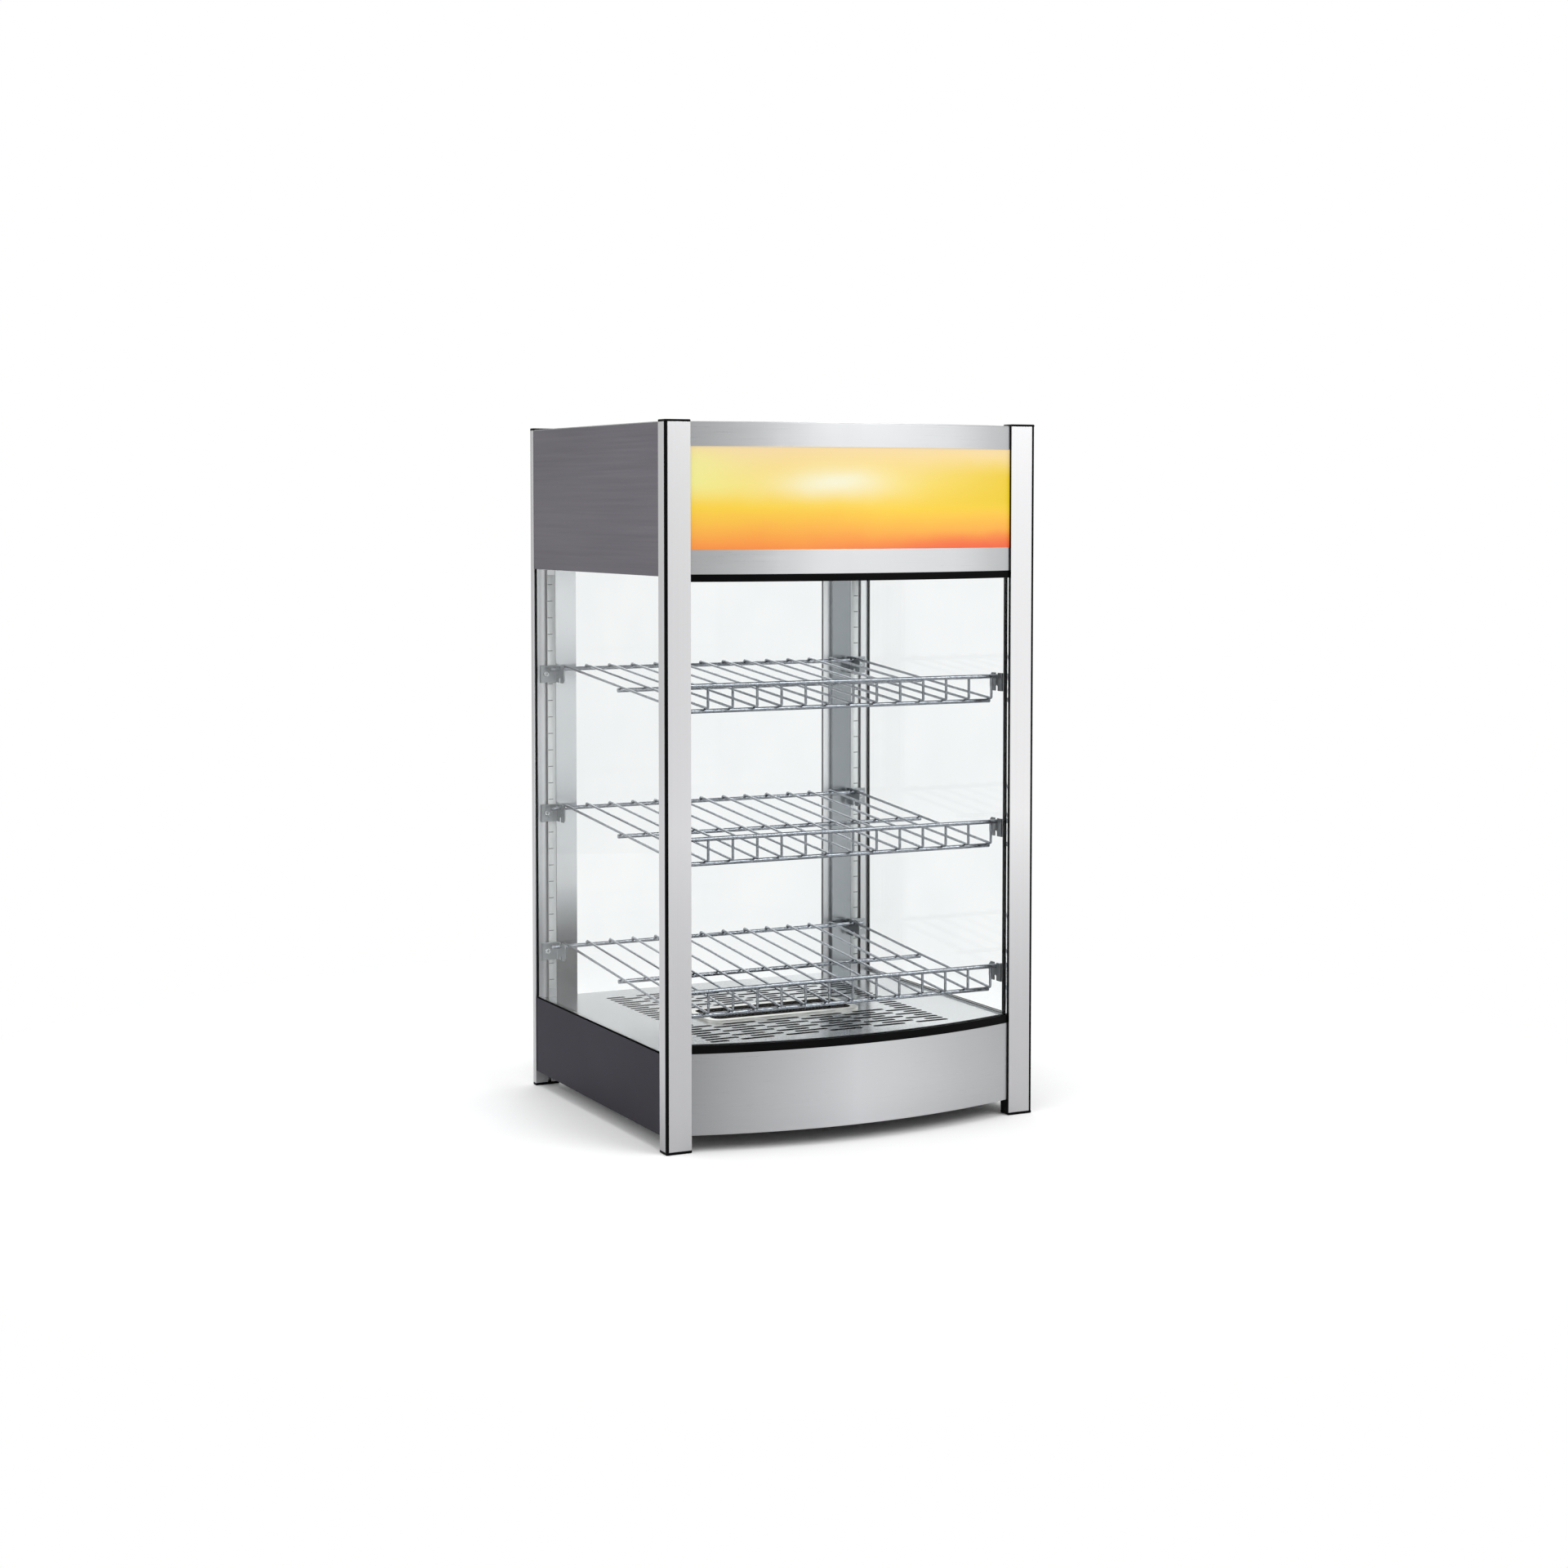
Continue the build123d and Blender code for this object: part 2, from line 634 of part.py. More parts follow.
with BuildPart() as lamp_reflector:
    with BuildSketch(Plane.YZ):
        folded(
            (REFLECTOR_Y - REFLECTOR_LIP, LAMP_Z + REFLECTOR_RISE + REFLECTOR_LIP_RISE),
            (REFLECTOR_Y, LAMP_Z + REFLECTOR_RISE),
            (REFLECTOR_Y, CEILING_TOP),
            (REFLECTOR_Y + REFLECTOR_LIP, CEILING_TOP),
        )
    extrude(amount=BAY - REFLECTOR_MARGIN, both=True)
save(lamp_reflector.part, "lamp_reflector")

# Base: bottom plate, control panel and perforated floor
with BuildPart() as base_bottom_plate:
    with BuildSketch(Plane.XY.offset(BOTTOM_Z - SHEET)):
        case_plan(PLATE_X, SHEET + FIT, TRACK_BACK_Y - FIT)
        with Locations((0, MIDDLE_Y)):
            with GridLocations(VENT_PITCH, VENT_ROW_PITCH, VENT_COLUMNS, VENT_ROWS):
                Rectangle(VENT_LENGTH, VENT_WIDTH, mode=Mode.SUBTRACT)
    extrude(amount=SHEET)
save(base_bottom_plate.part, "base_bottom_plate")

SWITCH_PLACES = [(SWITCH_X, CONTROL_Z), (SWITCH_X + SWITCH_PITCH, CONTROL_Z)]
with BuildPart() as control_panel:
    with BuildSketch(Plane.YZ):
        folded(
            (TRACK_BACK_Y - FLANGE, BOTTOM_Z),
            (TRACK_BACK_Y, BOTTOM_Z),
            (TRACK_BACK_Y, FLOOR_Z - SHEET),
        )
    extrude(amount=PLATE_X, both=True)
    with BuildSketch(across(TRACK_BACK_Y)):
        with Locations((THERMOSTAT_X, CONTROL_Z)):
            RegularPolygon(SHAFT_RADIUS + PANEL_HOLE_FIT, SHAFT_SIDES)
        with Locations((GLAND_X, CONTROL_Z)):
            RegularPolygon(GLAND_RADIUS + PANEL_HOLE_FIT, GLAND_SIDES)
        with Locations(*SWITCH_PLACES):
            Rectangle(SWITCH_WIDTH + PANEL_HOLE_FIT, SWITCH_HEIGHT + PANEL_HOLE_FIT)
    extrude(amount=SHEET, mode=Mode.SUBTRACT)
save(control_panel.part, "control_panel")


def slot_rows():
    """Places of the full and the short slots: rows start with a short slot at one side and then the other."""
    step = SLOT_LENGTH + SLOT_GAP
    columns = int((2 * (SEAT_X - FIELD_SIDE_MARGIN) - SHORT_SLOT) / step)
    rows = int((SIDE_LENGTH - 2 * FIELD_END_MARGIN) / ROW_PITCH) + 1
    edge = (columns * step + SHORT_SLOT) / 2
    full = []
    short = []
    for row in range(rows):
        y = MIDDLE_Y + (row - (rows - 1) / 2) * ROW_PITCH
        side = 1 if row % 2 else -1
        short.append((side * (edge - SHORT_SLOT / 2), y))
        if abs(y - TRAY_Y) < TRAY_LENGTH / 2 + SLOT_TRAY_MARGIN:
            short.append((-side * (edge - SHORT_SLOT / 2), y))
        else:
            full += [(-side * (edge - SLOT_LENGTH / 2 - n * step), y) for n in range(columns)]
    return full, short


FULL_SLOTS, SHORT_SLOTS = slot_rows()
WELL_WIDTH = TRAY_WIDTH - 2 * TRAY_RIM
WELL_LENGTH = TRAY_LENGTH - 2 * TRAY_RIM
WELL_ROUND = TRAY_ROUND - TRAY_RIM / 2

with BuildPart() as floor_plate:
    with BuildSketch(Plane.XY.offset(FLOOR_Z - SHEET)):
        case_plan(PLATE_X, SHEET + FIT, STOP_Y)
        with Locations((TRAY_X, TRAY_Y)):
            RectangleRounded(
                WELL_WIDTH + 2 * TRAY_FIT,
                WELL_LENGTH + 2 * TRAY_FIT,
                WELL_ROUND + TRAY_FIT,
                mode=Mode.SUBTRACT,
            )
        with Locations(*FULL_SLOTS):
            Rectangle(SLOT_LENGTH, SLOT_WIDTH, mode=Mode.SUBTRACT)
        with Locations(*SHORT_SLOTS):
            Rectangle(SHORT_SLOT, SLOT_WIDTH, mode=Mode.SUBTRACT)
    extrude(amount=SHEET)
    with BuildSketch(across(STOP_Y)):
        with Locations((0, FLOOR_Z)):
            Rectangle(2 * BAY_EDGE, FLOOR_FLANGE, align=(Align.CENTER, Align.MAX))
    extrude(amount=SHEET)
save(floor_plate.part, "floor_plate")

# Water tray: a shallow pan that hangs in the floor by its rim
with BuildPart() as water_tray:
    with BuildSketch(Plane.XY.offset(FLOOR_Z)):
        with Locations((TRAY_X, TRAY_Y)):
            RectangleRounded(TRAY_WIDTH, TRAY_LENGTH, TRAY_ROUND)
    extrude(amount=TRAY_RIM_HEIGHT)
    with BuildSketch(Plane.XY.offset(FLOOR_Z + TRAY_RIM_HEIGHT - TRAY_DEPTH)):
        with Locations((TRAY_X, TRAY_Y)):
            RectangleRounded(WELL_WIDTH, WELL_LENGTH, WELL_ROUND)
    extrude(amount=TRAY_DEPTH - TRAY_RIM_HEIGHT)
    with BuildSketch(Plane.XY.offset(FLOOR_Z + TRAY_RIM_HEIGHT - TRAY_DEPTH + TRAY_WALL)):
        with Locations((TRAY_X, TRAY_Y)):
            RectangleRounded(
                WELL_WIDTH - 2 * TRAY_WALL, WELL_LENGTH - 2 * TRAY_WALL, WELL_ROUND - TRAY_WALL
            )
    extrude(amount=TRAY_DEPTH, mode=Mode.SUBTRACT)
save(water_tray.part, "water_tray")

# Heating element: one tube bent back on itself, held above the bottom plate by clips
HEATER_Z = BOTTOM_Z + HEATER_RISE
HEATER_END = PLATE_X - HEATER_MARGIN
BEND_X = HEATER_BEND - HEATER_END
BEND_ANGLES = [pi * step / HEATER_STEPS for step in range(HEATER_STEPS + 1)]
BEND_POINTS = [(BEND_X - HEATER_BEND * sin(a), MIDDLE_Y - HEATER_BEND * cos(a)) for a in BEND_ANGLES]
HEATER_START = (HEATER_END, MIDDLE_Y - HEATER_BEND)
with BuildPart() as heater_element:
    with BuildLine(Plane.XY.offset(HEATER_Z)):
        Polyline(HEATER_START, *BEND_POINTS, (HEATER_END, MIDDLE_Y + HEATER_BEND))
    with BuildSketch(Plane.YZ.offset(HEATER_END)):
        with Locations((MIDDLE_Y - HEATER_BEND, HEATER_Z)):
            RegularPolygon(HEATER_RADIUS, HEATER_SIDES, major_radius=False)
    sweep(transition=Transition.RIGHT)
save(heater_element.part, "heater_element")

CLIP_TOP = HEATER_Z + HEATER_RADIUS + HEATER_CLIP_WALL
CLIP_HALF = HEATER_RADIUS / cos(pi / HEATER_SIDES) + HEATER_CLIP_WALL
with BuildPart() as heater_clips:
    with BuildSketch(Plane.YZ.offset(HEATER_END - HEATER_CLIP_WIDTH)):
        with Locations((MIDDLE_Y - HEATER_BEND, BOTTOM_Z), (MIDDLE_Y + HEATER_BEND, BOTTOM_Z)):
            Rectangle(2 * CLIP_HALF, CLIP_TOP - BOTTOM_Z, align=(Align.CENTER, Align.MIN))
            Rectangle(
                2 * CLIP_HALF - 2 * HEATER_CLIP_WALL,
                CLIP_TOP - BOTTOM_Z - HEATER_CLIP_WALL,
                align=(Align.CENTER, Align.MIN),
                mode=Mode.SUBTRACT,
            )
            with Locations((0, HEATER_RISE - HEATER_RADIUS)):
                Rectangle(2 * CLIP_HALF, HEATER_CLIP_WALL, align=(Align.CENTER, Align.MAX))
    extrude(amount=-HEATER_CLIP_WIDTH)
    add(heater_clips.part.moved(Location((BEND_X - HEATER_END + 2 * HEATER_CLIP_WIDTH, 0, 0))))
save(heater_clips.part, "heater_clips")

# Thermostat on the control panel, its shaft, and the knob on the shaft
PANEL_BACK = TRACK_BACK_Y
PANEL_FRONT = TRACK_BACK_Y - SHEET
with BuildPart() as thermostat_body:
    with BuildSketch(across(PANEL_FRONT)):
        with Locations((THERMOSTAT_X, CONTROL_Z)):
            Rectangle(THERMOSTAT_WIDTH, THERMOSTAT_HEIGHT)
    extrude(amount=THERMOSTAT_DEPTH)
    with BuildSketch(across(PANEL_FRONT)):
        with Locations((THERMOSTAT_X, CONTROL_Z)):
            RegularPolygon(SHAFT_RADIUS + SHAFT_FIT, SHAFT_SIDES, major_radius=False)
    extrude(amount=SHAFT_DEPTH + SHAFT_FIT, mode=Mode.SUBTRACT)
save(thermostat_body.part, "thermostat_body")

with BuildPart() as thermostat_shaft:
    with BuildSketch(across(PANEL_BACK + SHAFT_REACH)):
        with Locations((THERMOSTAT_X, CONTROL_Z)):
            Circle(SHAFT_RADIUS)
    extrude(amount=SHAFT_REACH + SHEET + SHAFT_DEPTH)
save(thermostat_shaft.part, "thermostat_shaft")

with BuildPart() as thermostat_knob:
    with BuildSketch(across(PANEL_BACK + KNOB_GAP)):
        with Locations((THERMOSTAT_X, CONTROL_Z)):
            RegularPolygon(KNOB_RADIUS, KNOB_SIDES)
    extrude(amount=-KNOB_HEIGHT)
    chamfer(thermostat_knob.faces().sort_by(Axis.Y)[-1].edges(), KNOB_CHAMFER)
    with BuildSketch(across(PANEL_BACK + KNOB_GAP + KNOB_HEIGHT)):
        with Locations((THERMOSTAT_X, CONTROL_Z)):
            Rectangle(POINTER_WIDTH, KNOB_RADIUS, align=(Align.CENTER, Align.MIN))
    extrude(amount=POINTER_DEPTH, mode=Mode.SUBTRACT)
    with BuildSketch(across(PANEL_BACK + KNOB_GAP)):
        with Locations((THERMOSTAT_X, CONTROL_Z)):
            RegularPolygon(SHAFT_RADIUS + SHAFT_FIT, SHAFT_SIDES, major_radius=False)
    extrude(amount=KNOB_GAP - SHAFT_REACH, mode=Mode.SUBTRACT)
save(thermostat_knob.part, "thermostat_knob")

with BuildPart() as sensor_bulb:
    body_front = PANEL_FRONT - THERMOSTAT_DEPTH
    with BuildSketch(across(body_front)):
        with Locations((THERMOSTAT_X, CONTROL_Z)):
            RegularPolygon(CAPILLARY_RADIUS, BULB_SIDES // 2)
    extrude(amount=CAPILLARY_LENGTH)
    with BuildSketch(across(body_front - CAPILLARY_LENGTH)):
        with Locations((THERMOSTAT_X, CONTROL_Z)):
            RegularPolygon(BULB_RADIUS, BULB_SIDES)
    extrude(amount=BULB_LENGTH)
save(sensor_bulb.part, "sensor_bulb")

# Rocker switches: housings in the panel, each with a rocker on two trunnions
PIVOT_Y = PANEL_BACK + PIVOT_LIFT
POCKET_HALF = ROCKER_HALF + ROCKER_GAP + ROCKER_CROWN / 4
with BuildPart() as switch_housings:
    with BuildSketch(across(PANEL_BACK)):
        with Locations(*SWITCH_PLACES):
            Rectangle(SWITCH_WIDTH, SWITCH_HEIGHT)
    extrude(amount=SWITCH_DEPTH)
    with BuildSketch(across(PANEL_BACK)):
        with Locations(*SWITCH_PLACES):
            Rectangle(SWITCH_WIDTH + 2 * BEZEL_MARGIN, SWITCH_HEIGHT + 2 * BEZEL_MARGIN)
    extrude(amount=-BEZEL_THICKNESS)
    with BuildSketch(across(PANEL_BACK + BEZEL_THICKNESS)):
        with Locations(*SWITCH_PLACES):
            Rectangle(ROCKER_WIDTH + 2 * ROCKER_GAP, 2 * POCKET_HALF)
    extrude(amount=POCKET_DEPTH, mode=Mode.SUBTRACT)
    for switch_x, switch_z in SWITCH_PLACES:
        with BuildSketch(Plane.YZ.offset(switch_x)):
            with Locations((PIVOT_Y, switch_z)):
                RegularPolygon(TRUNNION_RADIUS + TRUNNION_FIT, TRUNNION_SIDES, major_radius=False)
        extrude(amount=ROCKER_WIDTH / 2 + TRUNNION_LENGTH + TRUNNION_FIT, both=True, mode=Mode.SUBTRACT)
save(switch_housings.part, "switch_housings")


def rocker(place):
    """A shallow V-topped rocker tilted to its off position about its trunnions."""
    x, z = place
    end = ROCKER_CROWN + ROCKER_HALF * tan(radians(ROCKER_TILT))
    belly = ROCKER_HALF / 2
    with BuildPart() as piece:
        with BuildSketch(Plane.YZ.offset(x)):
            outline(
                (PIVOT_Y + ROCKER_CROWN, z),
                (PIVOT_Y + end, z + ROCKER_HALF),
                (PIVOT_Y - ROCKER_CROWN / 2, z + ROCKER_HALF),
                (PIVOT_Y - ROCKER_BELLY, z + belly),
                (PIVOT_Y - ROCKER_BELLY, z - belly),
                (PIVOT_Y - ROCKER_CROWN / 2, z - ROCKER_HALF),
                (PIVOT_Y + end, z - ROCKER_HALF),
            )
        extrude(amount=ROCKER_WIDTH / 2, both=True)
        with BuildSketch(Plane.YZ.offset(x)):
            with Locations((PIVOT_Y, z)):
                RegularPolygon(TRUNNION_RADIUS, TRUNNION_SIDES)
        extrude(amount=ROCKER_WIDTH / 2 + TRUNNION_LENGTH, both=True)
    return piece.part.rotate(Axis((x, PIVOT_Y, z), (1, 0, 0)), ROCKER_TILT)


save(rocker(SWITCH_PLACES[0]), "power_rocker")
save(rocker(SWITCH_PLACES[1]), "lamp_rocker")

# Cable gland with an open bore, and the terminal block behind it
with BuildPart() as cable_gland:
    with BuildSketch(across(PANEL_BACK)):
        with Locations((GLAND_X, CONTROL_Z)):
            RegularPolygon(GLAND_NUT_RADIUS, 6)
    extrude(amount=-GLAND_NUT)
    with BuildSketch(across(PANEL_BACK + GLAND_NUT)):
        with Locations((GLAND_X, CONTROL_Z)):
            RegularPolygon(GLAND_DOME_RADIUS, GLAND_SIDES)
    extrude(amount=-GLAND_DOME)
    with BuildSketch(across(PANEL_BACK)):
        with Locations((GLAND_X, CONTROL_Z)):
            RegularPolygon(GLAND_RADIUS, GLAND_SIDES)
    extrude(amount=SHEET + GLAND_INSIDE)
    with BuildSketch(across(PANEL_BACK)):
        with Locations((GLAND_X, CONTROL_Z)):
            RegularPolygon(GLAND_BORE, GLAND_SIDES)
    extrude(amount=GLAND_INSIDE + GLAND_NUT + GLAND_DOME, both=True, mode=Mode.SUBTRACT)
save(cable_gland.part, "cable_gland")

with BuildPart() as terminal_block:
    with BuildSketch(Plane.YZ.offset(GLAND_X)):
        with Locations((PANEL_FRONT - 3 * GLAND_INSIDE, BOTTOM_Z)):
            Rectangle(TERMINAL_LENGTH, TERMINAL_STEP, align=(Align.MAX, Align.MIN))
        with Locations((PANEL_FRONT - 3 * GLAND_INSIDE - TERMINAL_LENGTH / 2, BOTTOM_Z)):
            Rectangle(TERMINAL_LENGTH / 2, TERMINAL_HEIGHT, align=(Align.CENTER, Align.MIN))
    extrude(amount=TERMINAL_WIDTH / 2, both=True)
save(terminal_block.part, "terminal_block")

# Rear doorway: a folded jamb down each side, and a magnet let into the closing one
with BuildPart() as jamb:
    with BuildSketch(Plane.XY.offset(FLOOR_Z)):
        folded((BAY_EDGE, STOP_Y), (DOORWAY, STOP_Y), (DOORWAY, TRACK_BACK_Y), (BAY_EDGE, TRACK_BACK_Y))
    extrude(amount=HEADER_LOW - FLOOR_Z)
save(mirror(jamb.part, about=Plane.YZ), "rear_left_jamb")

STILE_END = DOORWAY + DOOR_SIDE_LAP + STILE_EDGE
STILE_START = STILE_END - STILE_WIDTH
MAGNET_X = (DOORWAY + SHEET + STILE_END) / 2
MAGNET_Z = (FLOOR_Z + HEADER_LOW) / 2
with BuildPart() as rear_right_jamb:
    add(jamb.part)
    with BuildSketch(across(STOP_Y)):
        with Locations((MAGNET_X, MAGNET_Z)):
            Rectangle(MAGNET_WIDTH + 2 * PANEL_HOLE_FIT, MAGNET_HEIGHT + 2 * PANEL_HOLE_FIT)
    extrude(amount=SHEET, mode=Mode.SUBTRACT)
save(rear_right_jamb.part, "rear_right_jamb")

with BuildPart() as door_magnet:
    with BuildSketch(across(STOP_Y + MAGNET_PROUD)):
        with Locations((MAGNET_X, MAGNET_Z)):
            Rectangle(MAGNET_WIDTH, MAGNET_HEIGHT)
    extrude(amount=STOP_Y + MAGNET_PROUD - TRACK_BACK_Y - SHEET)
save(door_magnet.part, "door_magnet")

# Rear door: a glass pane with a grip stile on its closing edge and a pivot shoe on each hinge corner
DOOR_Y = STOP_Y + DOOR_GAP + DOOR_GLASS / 2
DOOR_LOW = DECK_Z - DOOR_LAP
DOOR_TOP = HEADER_LOW + DOOR_LAP
HINGE_X = -(DOORWAY + HINGE_SIDE_LAP)
PANE_START = HINGE_X + GLASS_PAST_PIN
PANE_END = DOORWAY + DOOR_SIDE_LAP
STILE_FRONT = STOP_Y + DOOR_GAP - GLASS_FIT - STILE_WALL
STILE_FACE = DOOR_Y + DOOR_GLASS / 2 + GLASS_FIT + STILE_WALL

with BuildPart() as door_glass:
    with BuildSketch(Plane.XY.offset(DOOR_LOW)):
        with Locations((PANE_START, DOOR_Y)):
            Rectangle(PANE_END - PANE_START, DOOR_GLASS, align=(Align.MIN, Align.CENTER))
    extrude(amount=DOOR_TOP - DOOR_LOW)
save(door_glass.part, "door_glass")

with BuildPart() as door_handle:
    with BuildSketch(Plane.XY.offset(DOOR_LOW)):
        outline(
            (STILE_START, STILE_FRONT),
            (STILE_END, STILE_FRONT),
            (STILE_END, BACK_Y + BACK_REACH),
            (STILE_END - STILE_GRIP, BACK_Y + BACK_REACH),
            (STILE_END - 2 * STILE_GRIP, STILE_FACE),
            (STILE_START, STILE_FACE),
        )
        with Locations((PANE_END + GLASS_FIT, DOOR_Y)):
            Rectangle(
                STILE_WIDTH,
                DOOR_GLASS + 2 * GLASS_FIT,
                align=(Align.MAX, Align.CENTER),
                mode=Mode.SUBTRACT,
            )
    extrude(amount=DOOR_TOP - DOOR_LOW)
    with BuildSketch(across(STILE_FRONT)):
        with Locations((MAGNET_X, MAGNET_Z)):
            Rectangle(MAGNET_WIDTH, MAGNET_HEIGHT)
    extrude(amount=-STRIKE, mode=Mode.SUBTRACT)
save(door_handle.part, "door_handle")

with BuildPart() as door_strike:
    with BuildSketch(across(STILE_FRONT)):
        with Locations((MAGNET_X, MAGNET_Z)):
            Rectangle(MAGNET_WIDTH, MAGNET_HEIGHT)
    extrude(amount=-STRIKE)
save(door_strike.part, "door_strike")

SHOE_LOW = DOOR_LOW - SHOE_LIP
SHOE_TOP = DOOR_TOP + SHOE_LIP
with BuildPart() as door_hinge_shoes:
    for shoe_low in (SHOE_LOW, SHOE_TOP - SHOE_HEIGHT):
        with BuildSketch(Plane.XY.offset(shoe_low)):
            with Locations((HINGE_X, DOOR_Y)):
                RegularPolygon(SHOE_HALF, SHOE_SIDES, major_radius=False, rotation=180 / SHOE_SIDES)
                Rectangle(SHOE_LENGTH, 2 * SHOE_HALF, align=(Align.MIN, Align.CENTER))
        extrude(amount=SHOE_HEIGHT)
    with BuildSketch(Plane.XY.offset(DOOR_LOW - GLASS_FIT)):
        with Locations((PANE_START - GLASS_FIT, DOOR_Y)):
            Rectangle(SHOE_LENGTH, DOOR_GLASS + 2 * GLASS_FIT, align=(Align.MIN, Align.CENTER))
    extrude(amount=DOOR_TOP - DOOR_LOW + 2 * GLASS_FIT, mode=Mode.SUBTRACT)
    for bore_low in (SHOE_LOW, SHOE_TOP - PIN_LENGTH - HINGE_GAP):
        with BuildSketch(Plane.XY.offset(bore_low)):
            with Locations((HINGE_X, DOOR_Y)):
                Circle(PIN_RADIUS + PIN_FIT)
        extrude(amount=PIN_LENGTH + HINGE_GAP, mode=Mode.SUBTRACT)
save(door_hinge_shoes.part, "door_hinge_shoes")


def hinge_bracket(leaf_z, away):
    """A hinge bracket beside a shoe: leaf, mounting plate and pin; away is +1 above the door and -1 below."""
    leaf_low = leaf_z if away > 0 else leaf_z - HINGE_PLATE
    plate_low = leaf_z if away > 0 else leaf_z - HINGE_PLATE_HEIGHT
    with BuildPart() as bracket:
        with BuildSketch(Plane.XY.offset(leaf_low)):
            with Locations((HINGE_X, STOP_Y)):
                Rectangle(
                    HINGE_LEAF_WIDTH, DOOR_Y + SHOE_HALF - STOP_Y, align=(Align.CENTER, Align.MIN)
                )
        extrude(amount=HINGE_PLATE)
        with BuildSketch(Plane.XY.offset(plate_low)):
            with Locations((HINGE_X, STOP_Y)):
                Rectangle(HINGE_PLATE_WIDTH, HINGE_PLATE, align=(Align.CENTER, Align.MIN))
        extrude(amount=HINGE_PLATE_HEIGHT)
        with BuildSketch(Plane.XY.offset(leaf_z)):
            with Locations((HINGE_X, DOOR_Y)):
                Circle(PIN_RADIUS)
        extrude(amount=-away * (PIN_LENGTH + HINGE_GAP - PIN_FIT))
    return bracket.part


with BuildPart() as door_hinge_brackets:
    add(hinge_bracket(SHOE_TOP + HINGE_GAP, 1))
    add(hinge_bracket(SHOE_LOW - HINGE_GAP, -1))
save(door_hinge_brackets.part, "door_hinge_brackets")

# Wire shelves and the brackets that they hook into
FRONT_RAIL_Y = TRACK_FRONT_Y + NOTCH_REACH
REAR_RAIL_Y = TRACK_BACK_Y - NOTCH_REACH
FENCE_Y = FRONT_RAIL_Y + RAIL_RADIUS + WIRE_RADIUS
BOTTOM_ROD_Y = FENCE_Y + BOTTOM_ROD_BEHIND
WIRE_ON_ROD = RAIL_RADIUS + WIRE_RADIUS
WIRE_SLOPE = FENCE_DROP / (REAR_RAIL_Y - BOTTOM_ROD_Y)
RAIL_HALF = TRACK_X - RAIL_END_GAP
ROD_HALF = TRACK_X - BRACKET_INNER - RAIL_END_GAP
WIRE_COUNT = int(2 * (TRACK_X - WIRE_SIDE_MARGIN) / WIRE_PITCH) + 1


def wire_height(level, y):
    """Height of a cross wire's middle at a depth: it lies on the rear rail and slopes down to the front."""
    return level + WIRE_ON_ROD - WIRE_SLOPE * (REAR_RAIL_Y - y)


def wire_shelf(level):
    """Four rods across and bent wires on top of them, as they are welded up."""
    rods = (
        (REAR_RAIL_Y, level, RAIL_HALF),
        (MIDDLE_Y, wire_height(level, MIDDLE_Y) - WIRE_ON_ROD, ROD_HALF),
        (BOTTOM_ROD_Y, wire_height(level, BOTTOM_ROD_Y) - WIRE_ON_ROD, ROD_HALF),
        (FRONT_RAIL_Y, level, RAIL_HALF),
    )
    start = (REAR_RAIL_Y + WIRE_TAIL, wire_height(level, REAR_RAIL_Y + WIRE_TAIL))
    heel = (FENCE_Y + WIRE_BEND, wire_height(level, FENCE_Y + WIRE_BEND))
    toe = (FENCE_Y, wire_height(level, FENCE_Y) + WIRE_BEND)
    with BuildPart() as wire:
        with BuildLine(Plane.YZ):
            Polyline(start, heel, toe, (FENCE_Y, level))
        with BuildSketch(Plane(origin=(0, *start), x_dir=(1, 0, 0), z_dir=(0, -1, -WIRE_SLOPE))):
            RegularPolygon(WIRE_RADIUS, WIRE_SIDES, major_radius=False)
        sweep(transition=Transition.RIGHT)
    with BuildPart() as wires:
        with GridLocations(WIRE_PITCH, 1, WIRE_COUNT, 1):
            add(wire.part)
    with BuildPart() as rods_across:
        for y, z, half in rods:
            with BuildSketch(Plane.YZ):
                with Locations((y, z)):
                    RegularPolygon(RAIL_RADIUS, RAIL_SIDES, major_radius=False, rotation=180 / RAIL_SIDES)
            extrude(amount=half, both=True)
    return Compound([*rods_across.part.solids(), *wires.part.solids()])


def screw_section(fit=0.0, mode=Mode.ADD):
    """Draws a screw's section, or the hole for it, with flats towards the cheeks of the track's mouth."""
    RegularPolygon(
        SCREW_RADIUS + fit, SCREW_SIDES, major_radius=False, rotation=180 / SCREW_SIDES, mode=mode
    )


